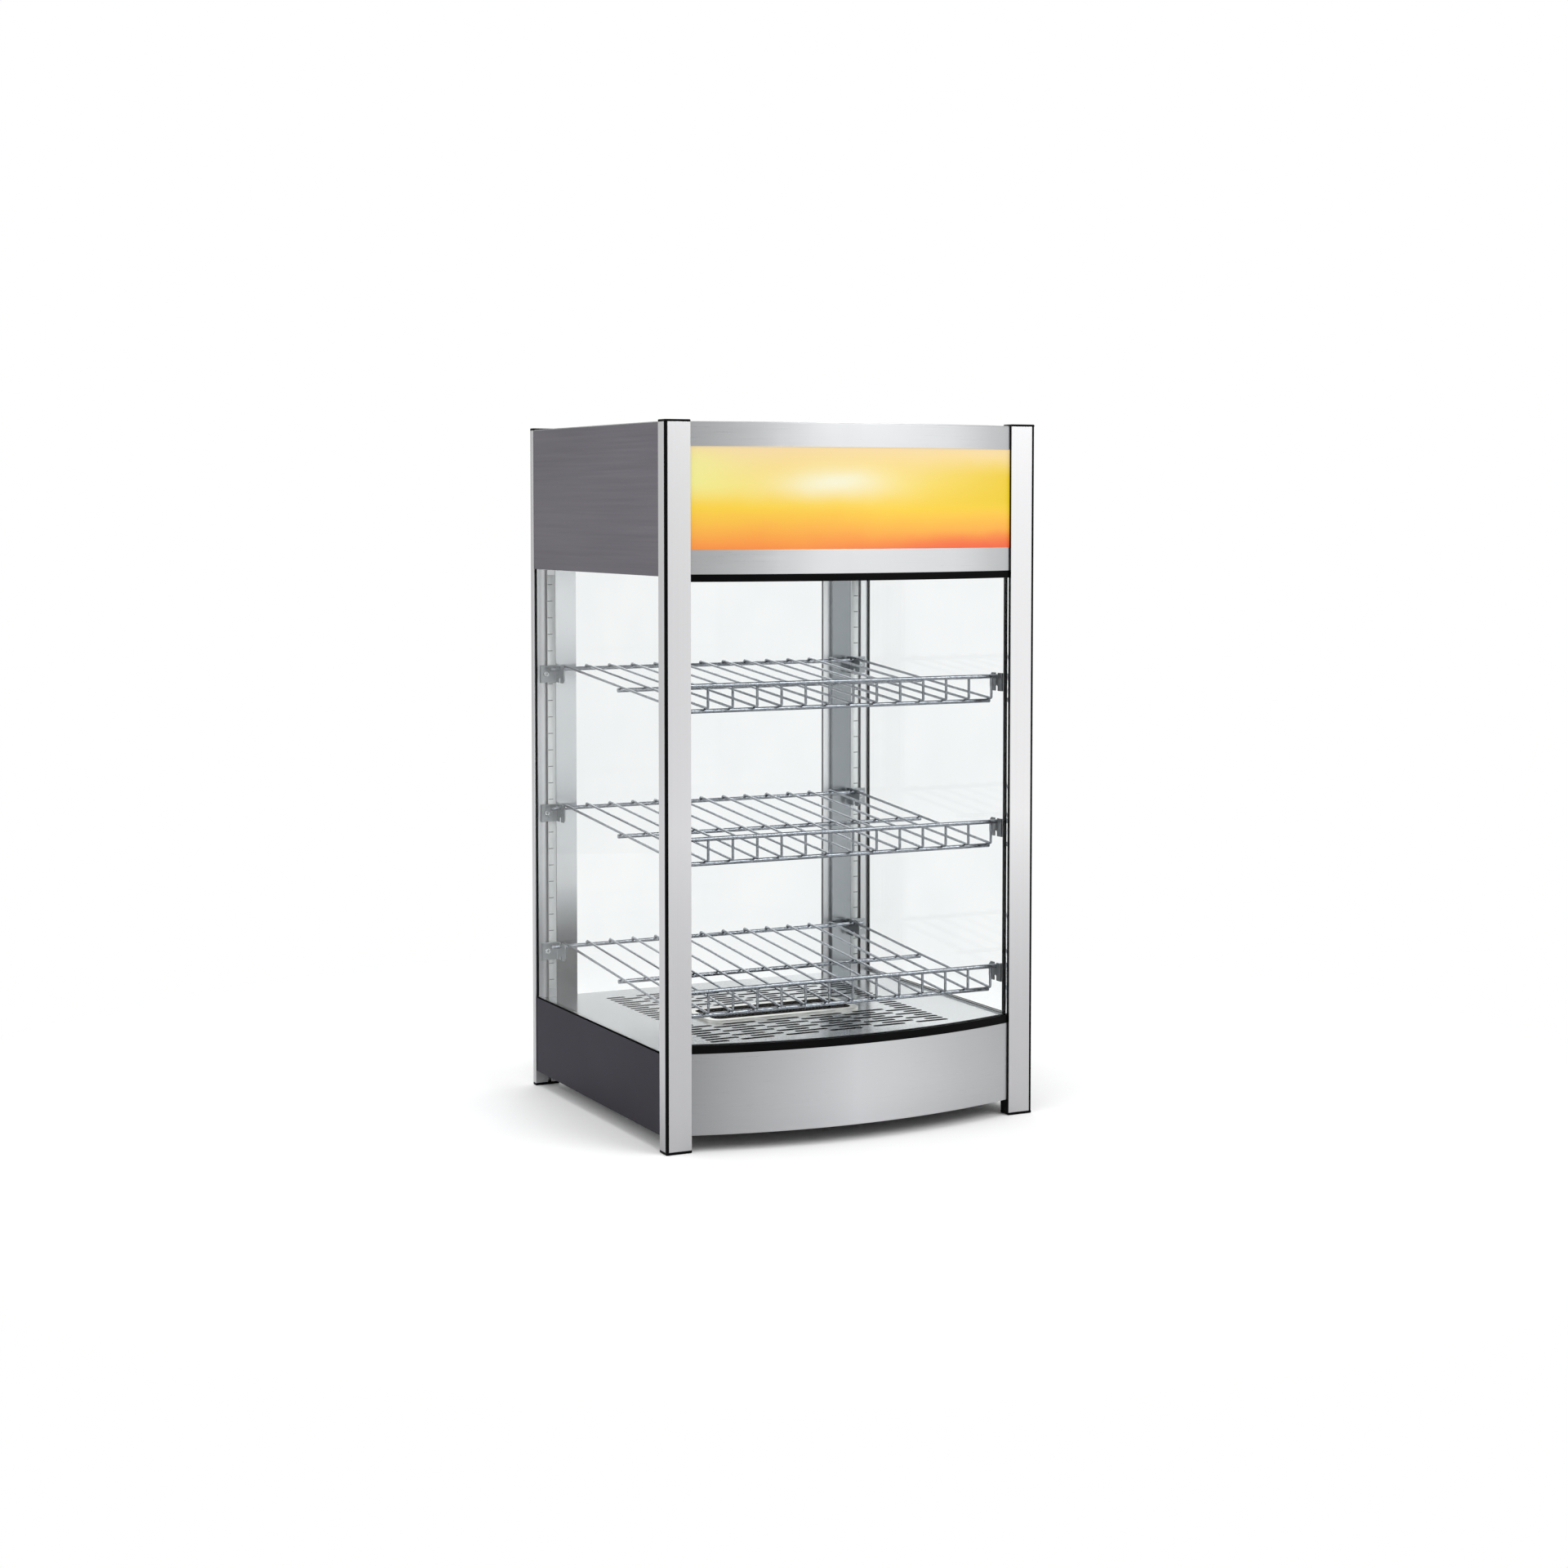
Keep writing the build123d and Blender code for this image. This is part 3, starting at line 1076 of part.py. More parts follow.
def rear_right_bracket(level):
    """A bent bracket: a flange on the track and a tab whose notches take the shelf's rail either way up."""
    low = level + NOTCH_DEPTH - RAIL_RADIUS - BRACKET_HEIGHT
    face = TRACK_BACK_Y - SLIDE_FIT
    spare = 2 * low + BRACKET_HEIGHT - level
    with BuildPart() as bracket:
        with BuildSketch(Plane.XY.offset(low)):
            folded(
                (TRACK_X + BRACKET_OUTER, face),
                (TRACK_X - BRACKET_INNER, face),
                (TRACK_X - BRACKET_INNER, face - BRACKET_REACH),
                gauge=BRACKET_SHEET,
            )
        extrude(amount=BRACKET_HEIGHT)
        chamfer(bracket.edges().filter_by(Axis.X).group_by(Axis.Y)[0], BRACKET_CHAMFER)
        with BuildSketch(Plane.YZ.offset(TRACK_X - BRACKET_INNER)):
            with Locations((REAR_RAIL_Y, level + NOTCH_FIT), (REAR_RAIL_Y, spare - NOTCH_FIT)):
                RegularPolygon(
                    RAIL_RADIUS + NOTCH_FIT, RAIL_SIDES, major_radius=False, rotation=180 / RAIL_SIDES
                )
            with Locations((REAR_RAIL_Y, level + NOTCH_FIT)):
                Rectangle(2 * (RAIL_RADIUS + NOTCH_FIT), NOTCH_DEPTH, align=(Align.CENTER, Align.MIN))
            with Locations((REAR_RAIL_Y, spare - NOTCH_FIT)):
                Rectangle(2 * (RAIL_RADIUS + NOTCH_FIT), NOTCH_DEPTH, align=(Align.CENTER, Align.MAX))
        extrude(amount=BRACKET_SHEET, mode=Mode.SUBTRACT)
        with BuildSketch(across(face)):
            with Locations((TRACK_X, low + BRACKET_HEIGHT / 2)):
                screw_section(SCREW_HOLE_FIT)
        extrude(amount=BRACKET_SHEET, mode=Mode.SUBTRACT)
    return bracket.part


def rear_right_fixing(level):
    """A pan-head screw through the bracket's flange into a square nut inside the track."""
    middle = level + NOTCH_DEPTH - RAIL_RADIUS - BRACKET_HEIGHT / 2
    head_face = TRACK_BACK_Y - SLIDE_FIT - BRACKET_SHEET
    nut_front = TRACK_BACK_Y + TRACK_LIP + SLIDE_FIT
    nut_back = TRACK_BACK_Y + TRACK_LIP + TRACK_DEPTH - SLIDE_FIT
    with BuildPart() as fixing:
        with BuildSketch(across(head_face)):
            with Locations((TRACK_X, middle)):
                RegularPolygon(HEAD_RADIUS, HEAD_SIDES)
        extrude(amount=HEAD_HEIGHT)
        with BuildSketch(across(nut_back)):
            with Locations((TRACK_X, middle)):
                screw_section()
        extrude(amount=nut_back - head_face)
        with BuildSketch(across(nut_back)):
            with Locations((TRACK_X, middle)):
                Rectangle(NUT_WIDTH, NUT_HEIGHT)
                screw_section(NUT_FIT, mode=Mode.SUBTRACT)
        extrude(amount=nut_back - nut_front)
    return fixing.part


def at_four_corners(piece):
    """Copies a rear right-hand piece to all four posts."""
    with BuildPart() as group:
        add(piece)
        mirror(about=BETWEEN_TRACKS)
        mirror(about=Plane.YZ)
    return group.part


for number, shelf_name in enumerate(SHELF_NAMES):
    shelf_level = DECK_Z + SHELF_FIRST + number * SHELF_PITCH
    save(wire_shelf(shelf_level), f"{shelf_name}_shelf")
    save(at_four_corners(rear_right_bracket(shelf_level)), f"{shelf_name}_shelf_brackets")
    save(at_four_corners(rear_right_fixing(shelf_level)), f"{shelf_name}_shelf_fixings")
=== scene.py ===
import json
from math import asin, cos, pi, radians, sin

import bmesh
import bpy
from mathutils import Matrix, Vector


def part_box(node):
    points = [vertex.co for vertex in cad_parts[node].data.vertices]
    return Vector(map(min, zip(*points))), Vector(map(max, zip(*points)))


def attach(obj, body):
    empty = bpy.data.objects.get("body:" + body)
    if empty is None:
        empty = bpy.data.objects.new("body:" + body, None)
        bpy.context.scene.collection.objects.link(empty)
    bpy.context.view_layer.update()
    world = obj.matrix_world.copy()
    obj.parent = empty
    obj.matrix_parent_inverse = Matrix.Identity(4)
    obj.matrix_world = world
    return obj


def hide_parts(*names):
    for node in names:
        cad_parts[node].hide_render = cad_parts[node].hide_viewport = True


# Heated display case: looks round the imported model. Metres, in the model's own frame.

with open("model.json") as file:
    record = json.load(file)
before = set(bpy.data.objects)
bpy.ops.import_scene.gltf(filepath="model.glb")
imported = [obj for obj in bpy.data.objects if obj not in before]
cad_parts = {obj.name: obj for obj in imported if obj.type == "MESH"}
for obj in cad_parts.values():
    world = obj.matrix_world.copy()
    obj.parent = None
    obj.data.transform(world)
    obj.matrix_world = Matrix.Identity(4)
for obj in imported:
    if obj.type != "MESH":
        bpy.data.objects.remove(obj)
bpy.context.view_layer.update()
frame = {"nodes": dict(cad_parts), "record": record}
NODES = frame["nodes"]
SLOT_OF = {row["node"]: row["material_slot"] for row in frame["record"]["subparts"]}
MM = 0.001

# Measures that several pieces share. The bay is the width between the posts, halved.
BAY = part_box("front_right_post")[0].x
SHEET = 1 * MM
FIT = 0.3 * MM
SEAL = 1.1 * MM
TRACK_X = 0.213
FRONT_FACE_Y, BACK_FACE_Y = (corner.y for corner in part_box("right_glass"))
TRACK_FRONT_Y = FRONT_FACE_Y - SEAL
TRACK_BACK_Y = BACK_FACE_Y + SEAL
MIDDLE_Y = (TRACK_FRONT_Y + TRACK_BACK_Y) / 2
SHELVES = ("lower", "middle", "upper")
SIDES = (-1, 1)


# Colours and node trees


def linear(shade):
    """A colour as shaders take it, from linear numbers, a share of white, or a screen's code."""
    if isinstance(shade, tuple):
        return shade
    if not isinstance(shade, str):
        return (shade,) * 3
    shares = [int(shade[i : i + 2], 16) / 255 for i in (0, 2, 4)]
    return tuple(s / 12.92 if s <= 0.04045 else ((s + 0.055) / 1.055) ** 2.4 for s in shares)


NOISE_REACH = (0.3, 0.7)
METAL_SPREAD = 0.18


class Tree:
    """A node tree that is built by short calls."""

    def __init__(self, owner):
        owner.use_nodes = True
        self.tree = owner.node_tree
        self.tree.nodes.clear()

    def node(self, kind, inputs=(), **settings):
        """Adds a node. Its inputs are other nodes' outputs, colours or plain values."""
        made = self.tree.nodes.new(kind)
        for name, value in settings.items():
            setattr(made, name, value)
        for name, value in dict(inputs).items():
            socket = made.inputs[name]
            if isinstance(value, bpy.types.NodeSocket):
                self.tree.links.new(value, socket)
            elif socket.type == "RGBA":
                socket.default_value = (*linear(value), 1)
            else:
                socket.default_value = value
        return made

    def math(self, operation, *values):
        return self.node("ShaderNodeMath", enumerate(values), operation=operation).outputs[0]

    def scaled(self, value, factor, start):
        """The start, and the value times its factor."""
        return self.math("ADD", self.math("MULTIPLY", value, factor), start)

    def remap(self, value, low, high, to_low=0.0, to_high=1.0, **settings):
        """Takes low to to_low and high to to_high, and goes no further."""
        inputs = {"Value": value, "From Min": low, "From Max": high, "To Min": to_low, "To Max": to_high}
        return self.node("ShaderNodeMapRange", inputs, **settings).outputs[0]

    def between(self, value, low, high):
        """0 at low, 1 at high, smooth between them."""
        return self.remap(value, low, high, interpolation_type="SMOOTHSTEP")

    def place(self, stretch=1):
        """The object's own coordinates, in metres, multiplied by one stretch or one for each axis."""
        coordinates = self.node("ShaderNodeTexCoord").outputs["Object"]
        scale = stretch if isinstance(stretch, tuple) else (stretch,) * 3
        return self.node("ShaderNodeMapping", {"Vector": coordinates, "Scale": scale}).outputs[0]

    def coordinate(self, axis, stretch=1):
        """One of the object's own coordinates."""
        return self.node("ShaderNodeSeparateXYZ", {0: self.place(stretch)}).outputs[axis]

    def along(self, axis, low, high):
        """0 at one place along an axis of the object, 1 at another."""
        return self.remap(self.coordinate(axis), low, high)

    def noise(self, stretch, detail=3.0, roughness=0.55):
        inputs = {"Vector": self.place(stretch), "Scale": 1.0, "Detail": detail, "Roughness": roughness}
        return self.node("ShaderNodeTexNoise", inputs).outputs[0]

    def streaks(self, grain, drift, share):
        """Fine lines, and their mix with a slow cloud, in which they have this share."""
        lines = self.noise(grain, detail=5.0, roughness=0.65)
        cloud = self.noise(drift, detail=2.0)
        parts = (self.math("MULTIPLY", lines, share), self.math("MULTIPLY", cloud, 1 - share))
        return lines, self.math("ADD", *parts)

    def ramp(self, value, *stops):
        """A colour that goes through (position, colour) stops."""
        made = self.node("ShaderNodeValToRGB", {"Fac": value})
        bar = made.color_ramp.elements
        while len(bar) < len(stops):
            bar.new(1.0)
        for element, (position, colour) in zip(bar, stops):
            element.position = position
            element.color = (*linear(colour), 1)
        return made.outputs[0]

    def shades(self, value, dark, light, spread=0.15):
        """Goes from dark to light while the value rises from this far below 0.5 to this far above."""
        return self.ramp(value, (0.5 - spread, dark), (0.5 + spread, light))

    def blend(self, share, a, b, kind="MIX"):
        """A colour between a and b."""
        inputs = {0: share, 6: a, 7: b}
        return self.node("ShaderNodeMix", inputs, data_type="RGBA", blend_type=kind).outputs[2]

    def with_painted_shade(self, colour, axis, low, high, shares):
        """The colour, with painted shade: (position, share) of its light between two places along an axis.
        """
        return self.blend(1.0, colour, self.ramp(self.along(axis, low, high), *shares), kind="MULTIPLY")

    def bump(self, height, distance):
        inputs = {"Height": height, "Distance": distance, "Strength": 1.0}
        return self.node("ShaderNodeBump", inputs).outputs[0]

    def principled(self, inputs):
        return self.node("ShaderNodeBsdfPrincipled", inputs).outputs[0]

    def emission(self, colour):
        return self.node("ShaderNodeEmission", {"Color": colour, "Strength": 1.0}).outputs[0]

    def mix(self, share, a, b):
        """A shader between a and b."""
        return self.node("ShaderNodeMixShader", {0: share, 1: a, 2: b}).outputs[0]

    def show(self, shader, kind="ShaderNodeOutputMaterial"):
        self.node(kind, {"Surface": shader})


def material(name, paint, *values, **settings):
    """A material. Paint takes its node tree with these values, and gives its shader."""
    made = bpy.data.materials.new(name)
    tree = Tree(made)
    tree.show(paint(tree, *values, **settings))
    return made


def add_object(name, data):
    """Adds an object to the scene."""
    made = bpy.data.objects.new(name, data)
    bpy.context.scene.collection.objects.link(made)
    return made


# Camera
CAMERA_PLACE = (-1.3792, -2.7859, 0.7039)
CAMERA_SENSOR = 36
CAMERA_LENS = 60.89
CAMERA_TURN = -26.41
CAMERA_TILT = 3.14
CAMERA_SHIFT = -0.085

camera = add_object("camera", bpy.data.cameras.new("camera"))
camera.location = CAMERA_PLACE
camera.rotation_euler = (radians(90 - CAMERA_TILT), 0, radians(CAMERA_TURN))
camera.data.sensor_width = CAMERA_SENSOR
camera.data.lens = CAMERA_LENS
camera.data.shift_y = CAMERA_SHIFT
bpy.context.scene.camera = camera
bpy.context.scene.view_settings.view_transform = "Standard"

# World: lights the object softly, and is plain white where it is seen directly, in metal or through glass
WORLD_LIGHT = 0.85

world = bpy.data.worlds.new("world")
bpy.context.scene.world = world
tree = Tree(world)
path = tree.node("ShaderNodeLightPath").outputs
seen = path["Is Camera Ray"]
for ray in ("Is Glossy Ray", "Is Transmission Ray"):
    seen = tree.math("MAXIMUM", seen, path[ray])
lit = tree.node("ShaderNodeBackground", {"Color": 1.0, "Strength": WORLD_LIGHT}).outputs[0]
plain = tree.node("ShaderNodeBackground", {"Color": 1.0, "Strength": 1.0}).outputs[0]
tree.show(tree.mix(seen, lit, plain), "ShaderNodeOutputWorld")


# Lamps, cards and floor
HALF_HEIGHT = 0.4
FLOOR_SIZE = 30.0
FLOOR_NEAR = 0.35
FLOOR_FAR = 1.1


def standing(name, data, azimuth, elevation, distance):
    """Places an object round the case at half its height, facing it."""
    made = add_object(name, data)
    a = radians(azimuth)
    e = radians(elevation)
    away = Vector((sin(a) * cos(e), -cos(a) * cos(e), sin(e)))
    made.location = Vector((0, 0, HALF_HEIGHT)) + away * distance
    made.rotation_euler = away.to_track_quat("Z", "Y").to_euler()
    return made


def soft_light(name, azimuth, elevation, distance, size, share):
    """A square lamp that adds this share of plain white light to a surface that faces it."""
    lamp = bpy.data.lights.new(name, "AREA")
    lamp.shape = "SQUARE"
    lamp.size = size
    lamp.energy = share * (pi * distance) ** 2
    standing(name, lamp, azimuth, elevation, distance)


def rectangle(name, width, height):
    """A flat mesh round the origin."""
    mesh = bpy.data.meshes.new(name)
    corners = [(x * width / 2, y * height / 2, 0) for x, y in ((-1, -1), (1, -1), (1, 1), (-1, 1))]
    mesh.from_pydata(corners, [], [(0, 1, 2, 3)])
    return mesh


def dark_card(name, azimuth, elevation, distance, width, height, shade):
    """A grey card that only shows in polished metal, as a studio's cards do."""
    mesh = rectangle(name, width, height)
    mesh.materials.append(material(name, Tree.emission, shade))
    card = standing(name, mesh, azimuth, elevation, distance)
    card.visible_camera = False
    card.visible_diffuse = False
    card.visible_transmission = False
    card.visible_shadow = False


def pale_floor(tree):
    """Pale near the object, so that it keeps its shadow, and plain white further out."""
    reach = tree.node("ShaderNodeVectorMath", {0: tree.place()}, operation="LENGTH").outputs["Value"]
    paper = tree.blend(tree.noise(6), "f6f6f6", "fafafa")
    matt = tree.node("ShaderNodeBsdfDiffuse", {"Color": paper}).outputs[0]
    return tree.mix(tree.between(reach, FLOOR_NEAR, FLOOR_FAR), matt, tree.emission(1.0))


soft_light("key_light", azimuth=28, elevation=34, distance=3.0, size=1.5, share=0.3)
soft_light("top_light", azimuth=-30, elevation=78, distance=3.0, size=2.2, share=0.3)
soft_light("side_light", azimuth=-105, elevation=25, distance=3.2, size=1.6, share=0.14)
soft_light("rear_light", azimuth=165, elevation=35, distance=3.2, size=1.8, share=0.16)
dark_card("front_card", azimuth=-6, elevation=2, distance=2.4, width=1.5, height=1.9, shade=0.55)
dark_card("right_card", azimuth=80, elevation=2, distance=2.4, width=1.1, height=1.9, shade=0.45)
dark_card("rear_card", azimuth=170, elevation=32, distance=2.2, width=2.6, height=0.8, shade=0.12)
dark_card("ceiling_card", azimuth=0, elevation=90, distance=2.2, width=2.8, height=2.8, shade=0.15)
dark_card("rear_left_card", azimuth=-158, elevation=2, distance=2.4, width=1.4, height=1.9, shade=0.6)

floor = add_object("floor", rectangle("floor", FLOOR_SIZE, FLOOR_SIZE))
floor.data.materials.append(material("pale_floor", pale_floor))


# Brushed metals. A grain is how close together its lines are along each axis.
SCRATCH = 0.01 * MM
GLOSS_DRIFT = 0.03
ALONG_X = (2.5, 60, 1100)
ALONG_Y = (60, 2.5, 1100)
ALONG_Z = (1100, 1100, 2.5)
FLAT_ALONG_X = (2.5, 1100, 60)
WAVY_ALONG_Y = (30, 4, 260)
EVERY_WAY = 120

# Painted shade and reflections: an axis, two places along it, and the shares (position, share) of light
# painted from one to the other
# Header strips: painted reflections, darker at the ends and palest left of the middle
STRIP_SHADE_SHARES = ((0, 0.62), (0.1, 0.76), (0.24, 0.97), (0.34, 0.92), (0.44, 0.84), (0.78, 0.8), (0.92, 0.68))
STRIP_PAINTED_SHADE = ("X", -BAY, BAY, STRIP_SHADE_SHARES)
# Base front: painted reflections, darkest at the left end and palest near the middle
BASE_PAINTED_SHADE = ("X", -BAY, BAY, ((0, 0.47), (0.1, 0.58), (0.47, 0.92), (0.59, 0.85), (0.84, 0.69), (1, 0.62)))
# Slotted floor: painted shade, darker to the left
FLOOR_PAINTED_SHADE = ("X", -BAY, BAY, ((0, 0.58), (0.6, 0.76), (0.8, 1)))
# Left jamb: painted shade, much darker low down
JAMB_PAINTED_SHADE = ("Z", 0.1, 0.5, ((0, 0.14), (0.2, 0.3), (0.36, 0.84), (0.6, 1)))
# Brackets and screws: painted shade, the front ones half as bright as the rear
BRACKET_PAINTED_SHADE = ("Y", -0.05, 0.05, ((0, 0.5), (1, 1)))


def brushed(tree, dark, light, grain, roughness, drift=3, streak=0.2, sweep=()):
    """Brushed metal: fine lines along one direction, a slow drift between two shades, and any painted
    shade.
    """
    lines, mixed = tree.streaks(grain, drift, streak)
    colour = tree.shades(mixed, dark, light, METAL_SPREAD)
    return tree.principled(
        {
            "Base Color": tree.with_painted_shade(colour, *sweep) if sweep else colour,
            "Metallic": 1.0,
            "Roughness": tree.remap(lines, *NOISE_REACH, roughness - GLOSS_DRIFT, roughness + GLOSS_DRIFT),
            "Normal": tree.bump(lines, SCRATCH),
        }
    )


# Base side panels: painted shade makes them dark outside, and the flanges that turn inwards keep the plain
# steel
OUTER_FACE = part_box("base_right_panel")[1].x - SHEET / 2


def dark_steel(tree):
    lines, mixed = tree.streaks(ALONG_Y, drift=(1, 3, 6), share=0.3)
    shaded_outside = tree.math("GREATER_THAN", tree.math("ABSOLUTE", tree.coordinate("X")), OUTER_FACE)
    pale = tree.shades(mixed, "a6aaad", "c0c3c5", METAL_SPREAD)
    # Painted shade: a dark copy of the steel on the outer faces
    dark = tree.shades(mixed, "37363a", "413f43", METAL_SPREAD)
    return tree.principled(
        {
            "Base Color": tree.blend(shaded_outside, pale, dark),
            "Metallic": 1.0,
            "Specular Tint": (0.6, 0.6, 0.63),
            "Roughness": tree.scaled(lines, factor=0.08, start=0.3),
            "Normal": tree.bump(lines, SCRATCH),
        }
    )


# Slotted floor: brushed on its faces, with painted shade across them, and painted shade near black on the
# cut edges of its slots
SLOTS_END = 0.19
FLOOR_SCRATCH = 0.012 * MM


def slotted_steel(tree):
    lines, mixed = tree.streaks(FLAT_ALONG_X, drift=3, share=0.3)
    facing = tree.node("ShaderNodeNewGeometry").outputs["True Normal"]
    upward = tree.node("ShaderNodeSeparateXYZ", {0: facing}).outputs["Z"]
    edge = tree.math("LESS_THAN", tree.math("ABSOLUTE", upward), 0.5)
    # Painted shade: the cut edges of the slots are near black
    shaded_cut = tree.math("MULTIPLY", edge, tree.math("LESS_THAN", tree.coordinate("Y"), SLOTS_END))
    face = tree.with_painted_shade(tree.shades(mixed, "d2d5d7", "e6e8ea", METAL_SPREAD), *FLOOR_PAINTED_SHADE)
    return tree.principled(
        {
            "Base Color": tree.blend(shaded_cut, face, "060607"),
            "Metallic": 1.0,
            "Roughness": tree.scaled(shaded_cut, factor=0.5, start=0.17),
            "Normal": tree.bump(lines, FLOOR_SCRATCH),
        }
    )


# Anodised posts: fine drawn lines up the extrusion, painted shade that darkens the foot, and painted light
# that makes the right ones paler
POST_SHADE_RISE = 0.75
LEFT_POST_PAINTED_SHADE = ((0, "b7b7b9"), (0.45, "dddddf"), (1, "d8d8d9"))
RIGHT_POST_PAINTED_LIGHT = ((0, "b5b5b7"), (0.45, "eeeeef"), (1, "e8e8e9"))


def post_aluminium(tree):
    lines = tree.noise(ALONG_Z, detail=4.0)
    shade_climb = tree.between(tree.coordinate("Z"), 0.0, POST_SHADE_RISE)
    right = tree.math("GREATER_THAN", tree.coordinate("X"), 0.0)
    colour = tree.blend(right, tree.ramp(shade_climb, *LEFT_POST_PAINTED_SHADE), tree.ramp(shade_climb, *RIGHT_POST_PAINTED_LIGHT))
    return tree.principled(
        {
            "Base Color": tree.blend(tree.math("MULTIPLY", lines, 0.16), colour, "9fa0a3"),
            "Metallic": 1.0,
            "Roughness": tree.scaled(lines, factor=0.12, start=0.28),
            "Normal": tree.bump(lines, SCRATCH),
        }
    )


def chrome_wire(tree):
    """Chromed wire, with a little drift in its shade and gloss."""
    drift = tree.noise(300)
    return tree.principled(
        {
            "Base Color": tree.shades(drift, "777b81", "9a9ea4"),
            "Metallic": 1.0,
            "Roughness": tree.scaled(drift, factor=0.1, start=0.1),
        }
    )


def tray_steel(tree):
    """Smooth pale steel of the water tray."""
    grain = tree.noise(700)
    return tree.principled(
        {
            "Base Color": tree.shades(tree.noise(20), "d6d4cf", "e6e4df"),
            "Metallic": 0.6,
            "Roughness": tree.scaled(grain, factor=0.1, start=0.25),
            "Normal": tree.bump(grain, SCRATCH),
        }
    )


# Plastics, rubber and the tray's woven lining
PIMPLES = 900
PIMPLE_HEIGHT = 0.03 * MM
GLOSS_BELOW = 0.05
GLOSS_ABOVE = 0.07
WEAVE = 1400


def moulded(tree, dark, light, roughness, coat=0.0, shine=0.5):
    """Plastic or rubber: fine moulded grain, and a slight drift in shade and gloss."""
    cloud = tree.noise(14)
    return tree.principled(
        {
            "Base Color": tree.shades(cloud, dark, light),
            "Roughness": tree.remap(cloud, *NOISE_REACH, roughness - GLOSS_BELOW, roughness + GLOSS_ABOVE),
            "Coat Weight": coat,
            "Specular IOR Level": shine,
            "Normal": tree.bump(tree.noise(PIMPLES, detail=4.0), PIMPLE_HEIGHT),
        }
    )


def pan_black(tree):
    """Matt black, with two crossing weaves."""
    x, y, z = (tree.coordinate(axis, WEAVE) for axis in "XYZ")
    across = tree.math("SINE", tree.math("ADD", x, y))
    back = tree.math("SINE", tree.math("SUBTRACT", x, tree.math("ADD", y, z)))
    weave = tree.scaled(tree.math("ADD", across, back), factor=0.25, start=0.35)
    weave = tree.scaled(tree.noise(60), factor=0.3, start=weave)
    return tree.principled(
        {
            "Base Color": tree.shades(weave, "171614", "2e2b28", spread=0.3),
            "Roughness": tree.scaled(weave, factor=0.1, start=0.8),
            "Specular IOR Level": 0.05,
        }
    )


# Glass. Its low index of refraction keeps its reflections faint.
GLASS_INDEX = 1.18


def clear_glass(tree):
    """Clear glass that lets the lamps through to what it holds."""
    pane = tree.principled(
        {
            "Base Color": tree.shades(tree.noise(9), "f7f9f9", "fbfcfc", spread=0.2),
            "Roughness": 0.0,
            "IOR": GLASS_INDEX,
            "Transmission Weight": 1.0,
        }
    )
    shadow = tree.node("ShaderNodeLightPath").outputs["Is Shadow Ray"]
    clear = tree.node("ShaderNodeBsdfTransparent", {"Color": "f6fafb"}).outputs[0]
    return tree.mix(shadow, pane, clear)


# Backlit sheet: warm bands, patches at its ends, and a pale glow left of the middle, as shares of its size
LIGHT_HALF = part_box("light_panel")[1].x
LIGHT_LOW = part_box("header_lower_strip")[1].z
LIGHT_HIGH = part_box("header_upper_strip")[0].z
LIGHT_WANDER = 0.16
LIGHT_BANDS = ((0, "fb8f3e"), (0.2, "fdb441"), (0.42, "fcd43e"), (0.66, "fadf6f"), (1, "f8dba6"))

# A patch is a colour, where it starts and is full across the sheet, and the same up it, once or twice
LIGHT_PATCHES = (
    ("f3f19a", (0.28, -0.1), ((0.4, 0.66), (1.1, 0.8))),
    ("f0cd24", (0.5, 1.1), ((0.3, 0.5), (0.95, 0.7))),
    ("f4633a", (0.25, 0.95), ((0.2, -0.02),)),
)
GLOW_PLACE = (0.4, 0.64)
GLOW_REACH = (0.2, 0.17)
GLOW_FALL = -1.6
LIGHT_STRENGTH = 0.56
LIGHT_DULLING = 0.65


def light_sheet(tree):
    wander = tree.math("MULTIPLY", tree.math("SUBTRACT", tree.noise((9, 9, 14)), 0.5), LIGHT_WANDER)
    over = tree.along("X", -LIGHT_HALF, LIGHT_HALF)
    level = tree.math("ADD", tree.along("Z", LIGHT_LOW, LIGHT_HIGH), wander)
    colour = tree.ramp(level, *LIGHT_BANDS)
    for patch, across, heights in LIGHT_PATCHES:
        share = tree.between(over, *across)
        for height in heights:
            share = tree.math("MULTIPLY", share, tree.between(level, *height))
        colour = tree.blend(share, colour, patch)
    squares = []
    for value, middle, reach in zip((over, level), GLOW_PLACE, GLOW_REACH):
        offset = tree.math("DIVIDE", tree.math("SUBTRACT", value, middle), reach)
        squares.append(tree.math("POWER", offset, 2.0))
    glow = tree.math("EXPONENT", tree.math("MULTIPLY", tree.math("ADD", *squares), GLOW_FALL))
    colour = tree.blend(glow, colour, "f8f3d2")
    return tree.principled(
        {
            "Base Color": tree.blend(LIGHT_DULLING, colour, 0.0),
            "Roughness": 0.35,
            "Emission Color": colour,
            "Emission Strength": LIGHT_STRENGTH,
        }
    )


looks = {}


def add_look(name, paint, *values, **settings):
    looks[name] = material(name, paint, *values, **settings)


add_look("front_steel", brushed, "e8eaec", "f4f5f6", ALONG_X, 0.3, sweep=STRIP_PAINTED_SHADE)
# Base front: a darker copy of the front steel in painted shade, with painted reflections across it
add_look("shaded_base_steel", brushed, "c2c3c6", "d0d1d3", ALONG_X, 0.3, sweep=BASE_PAINTED_SHADE)
# Header side panels: steel darkened by painted shade
add_look("side_steel", brushed, "64626a", "7c7980", WAVY_ALONG_Y, 0.34, drift=(1, 2, 5), streak=0.5)
add_look("inner_steel", brushed, "b4b8bb", "d0d2d4", ALONG_Z, 0.2)
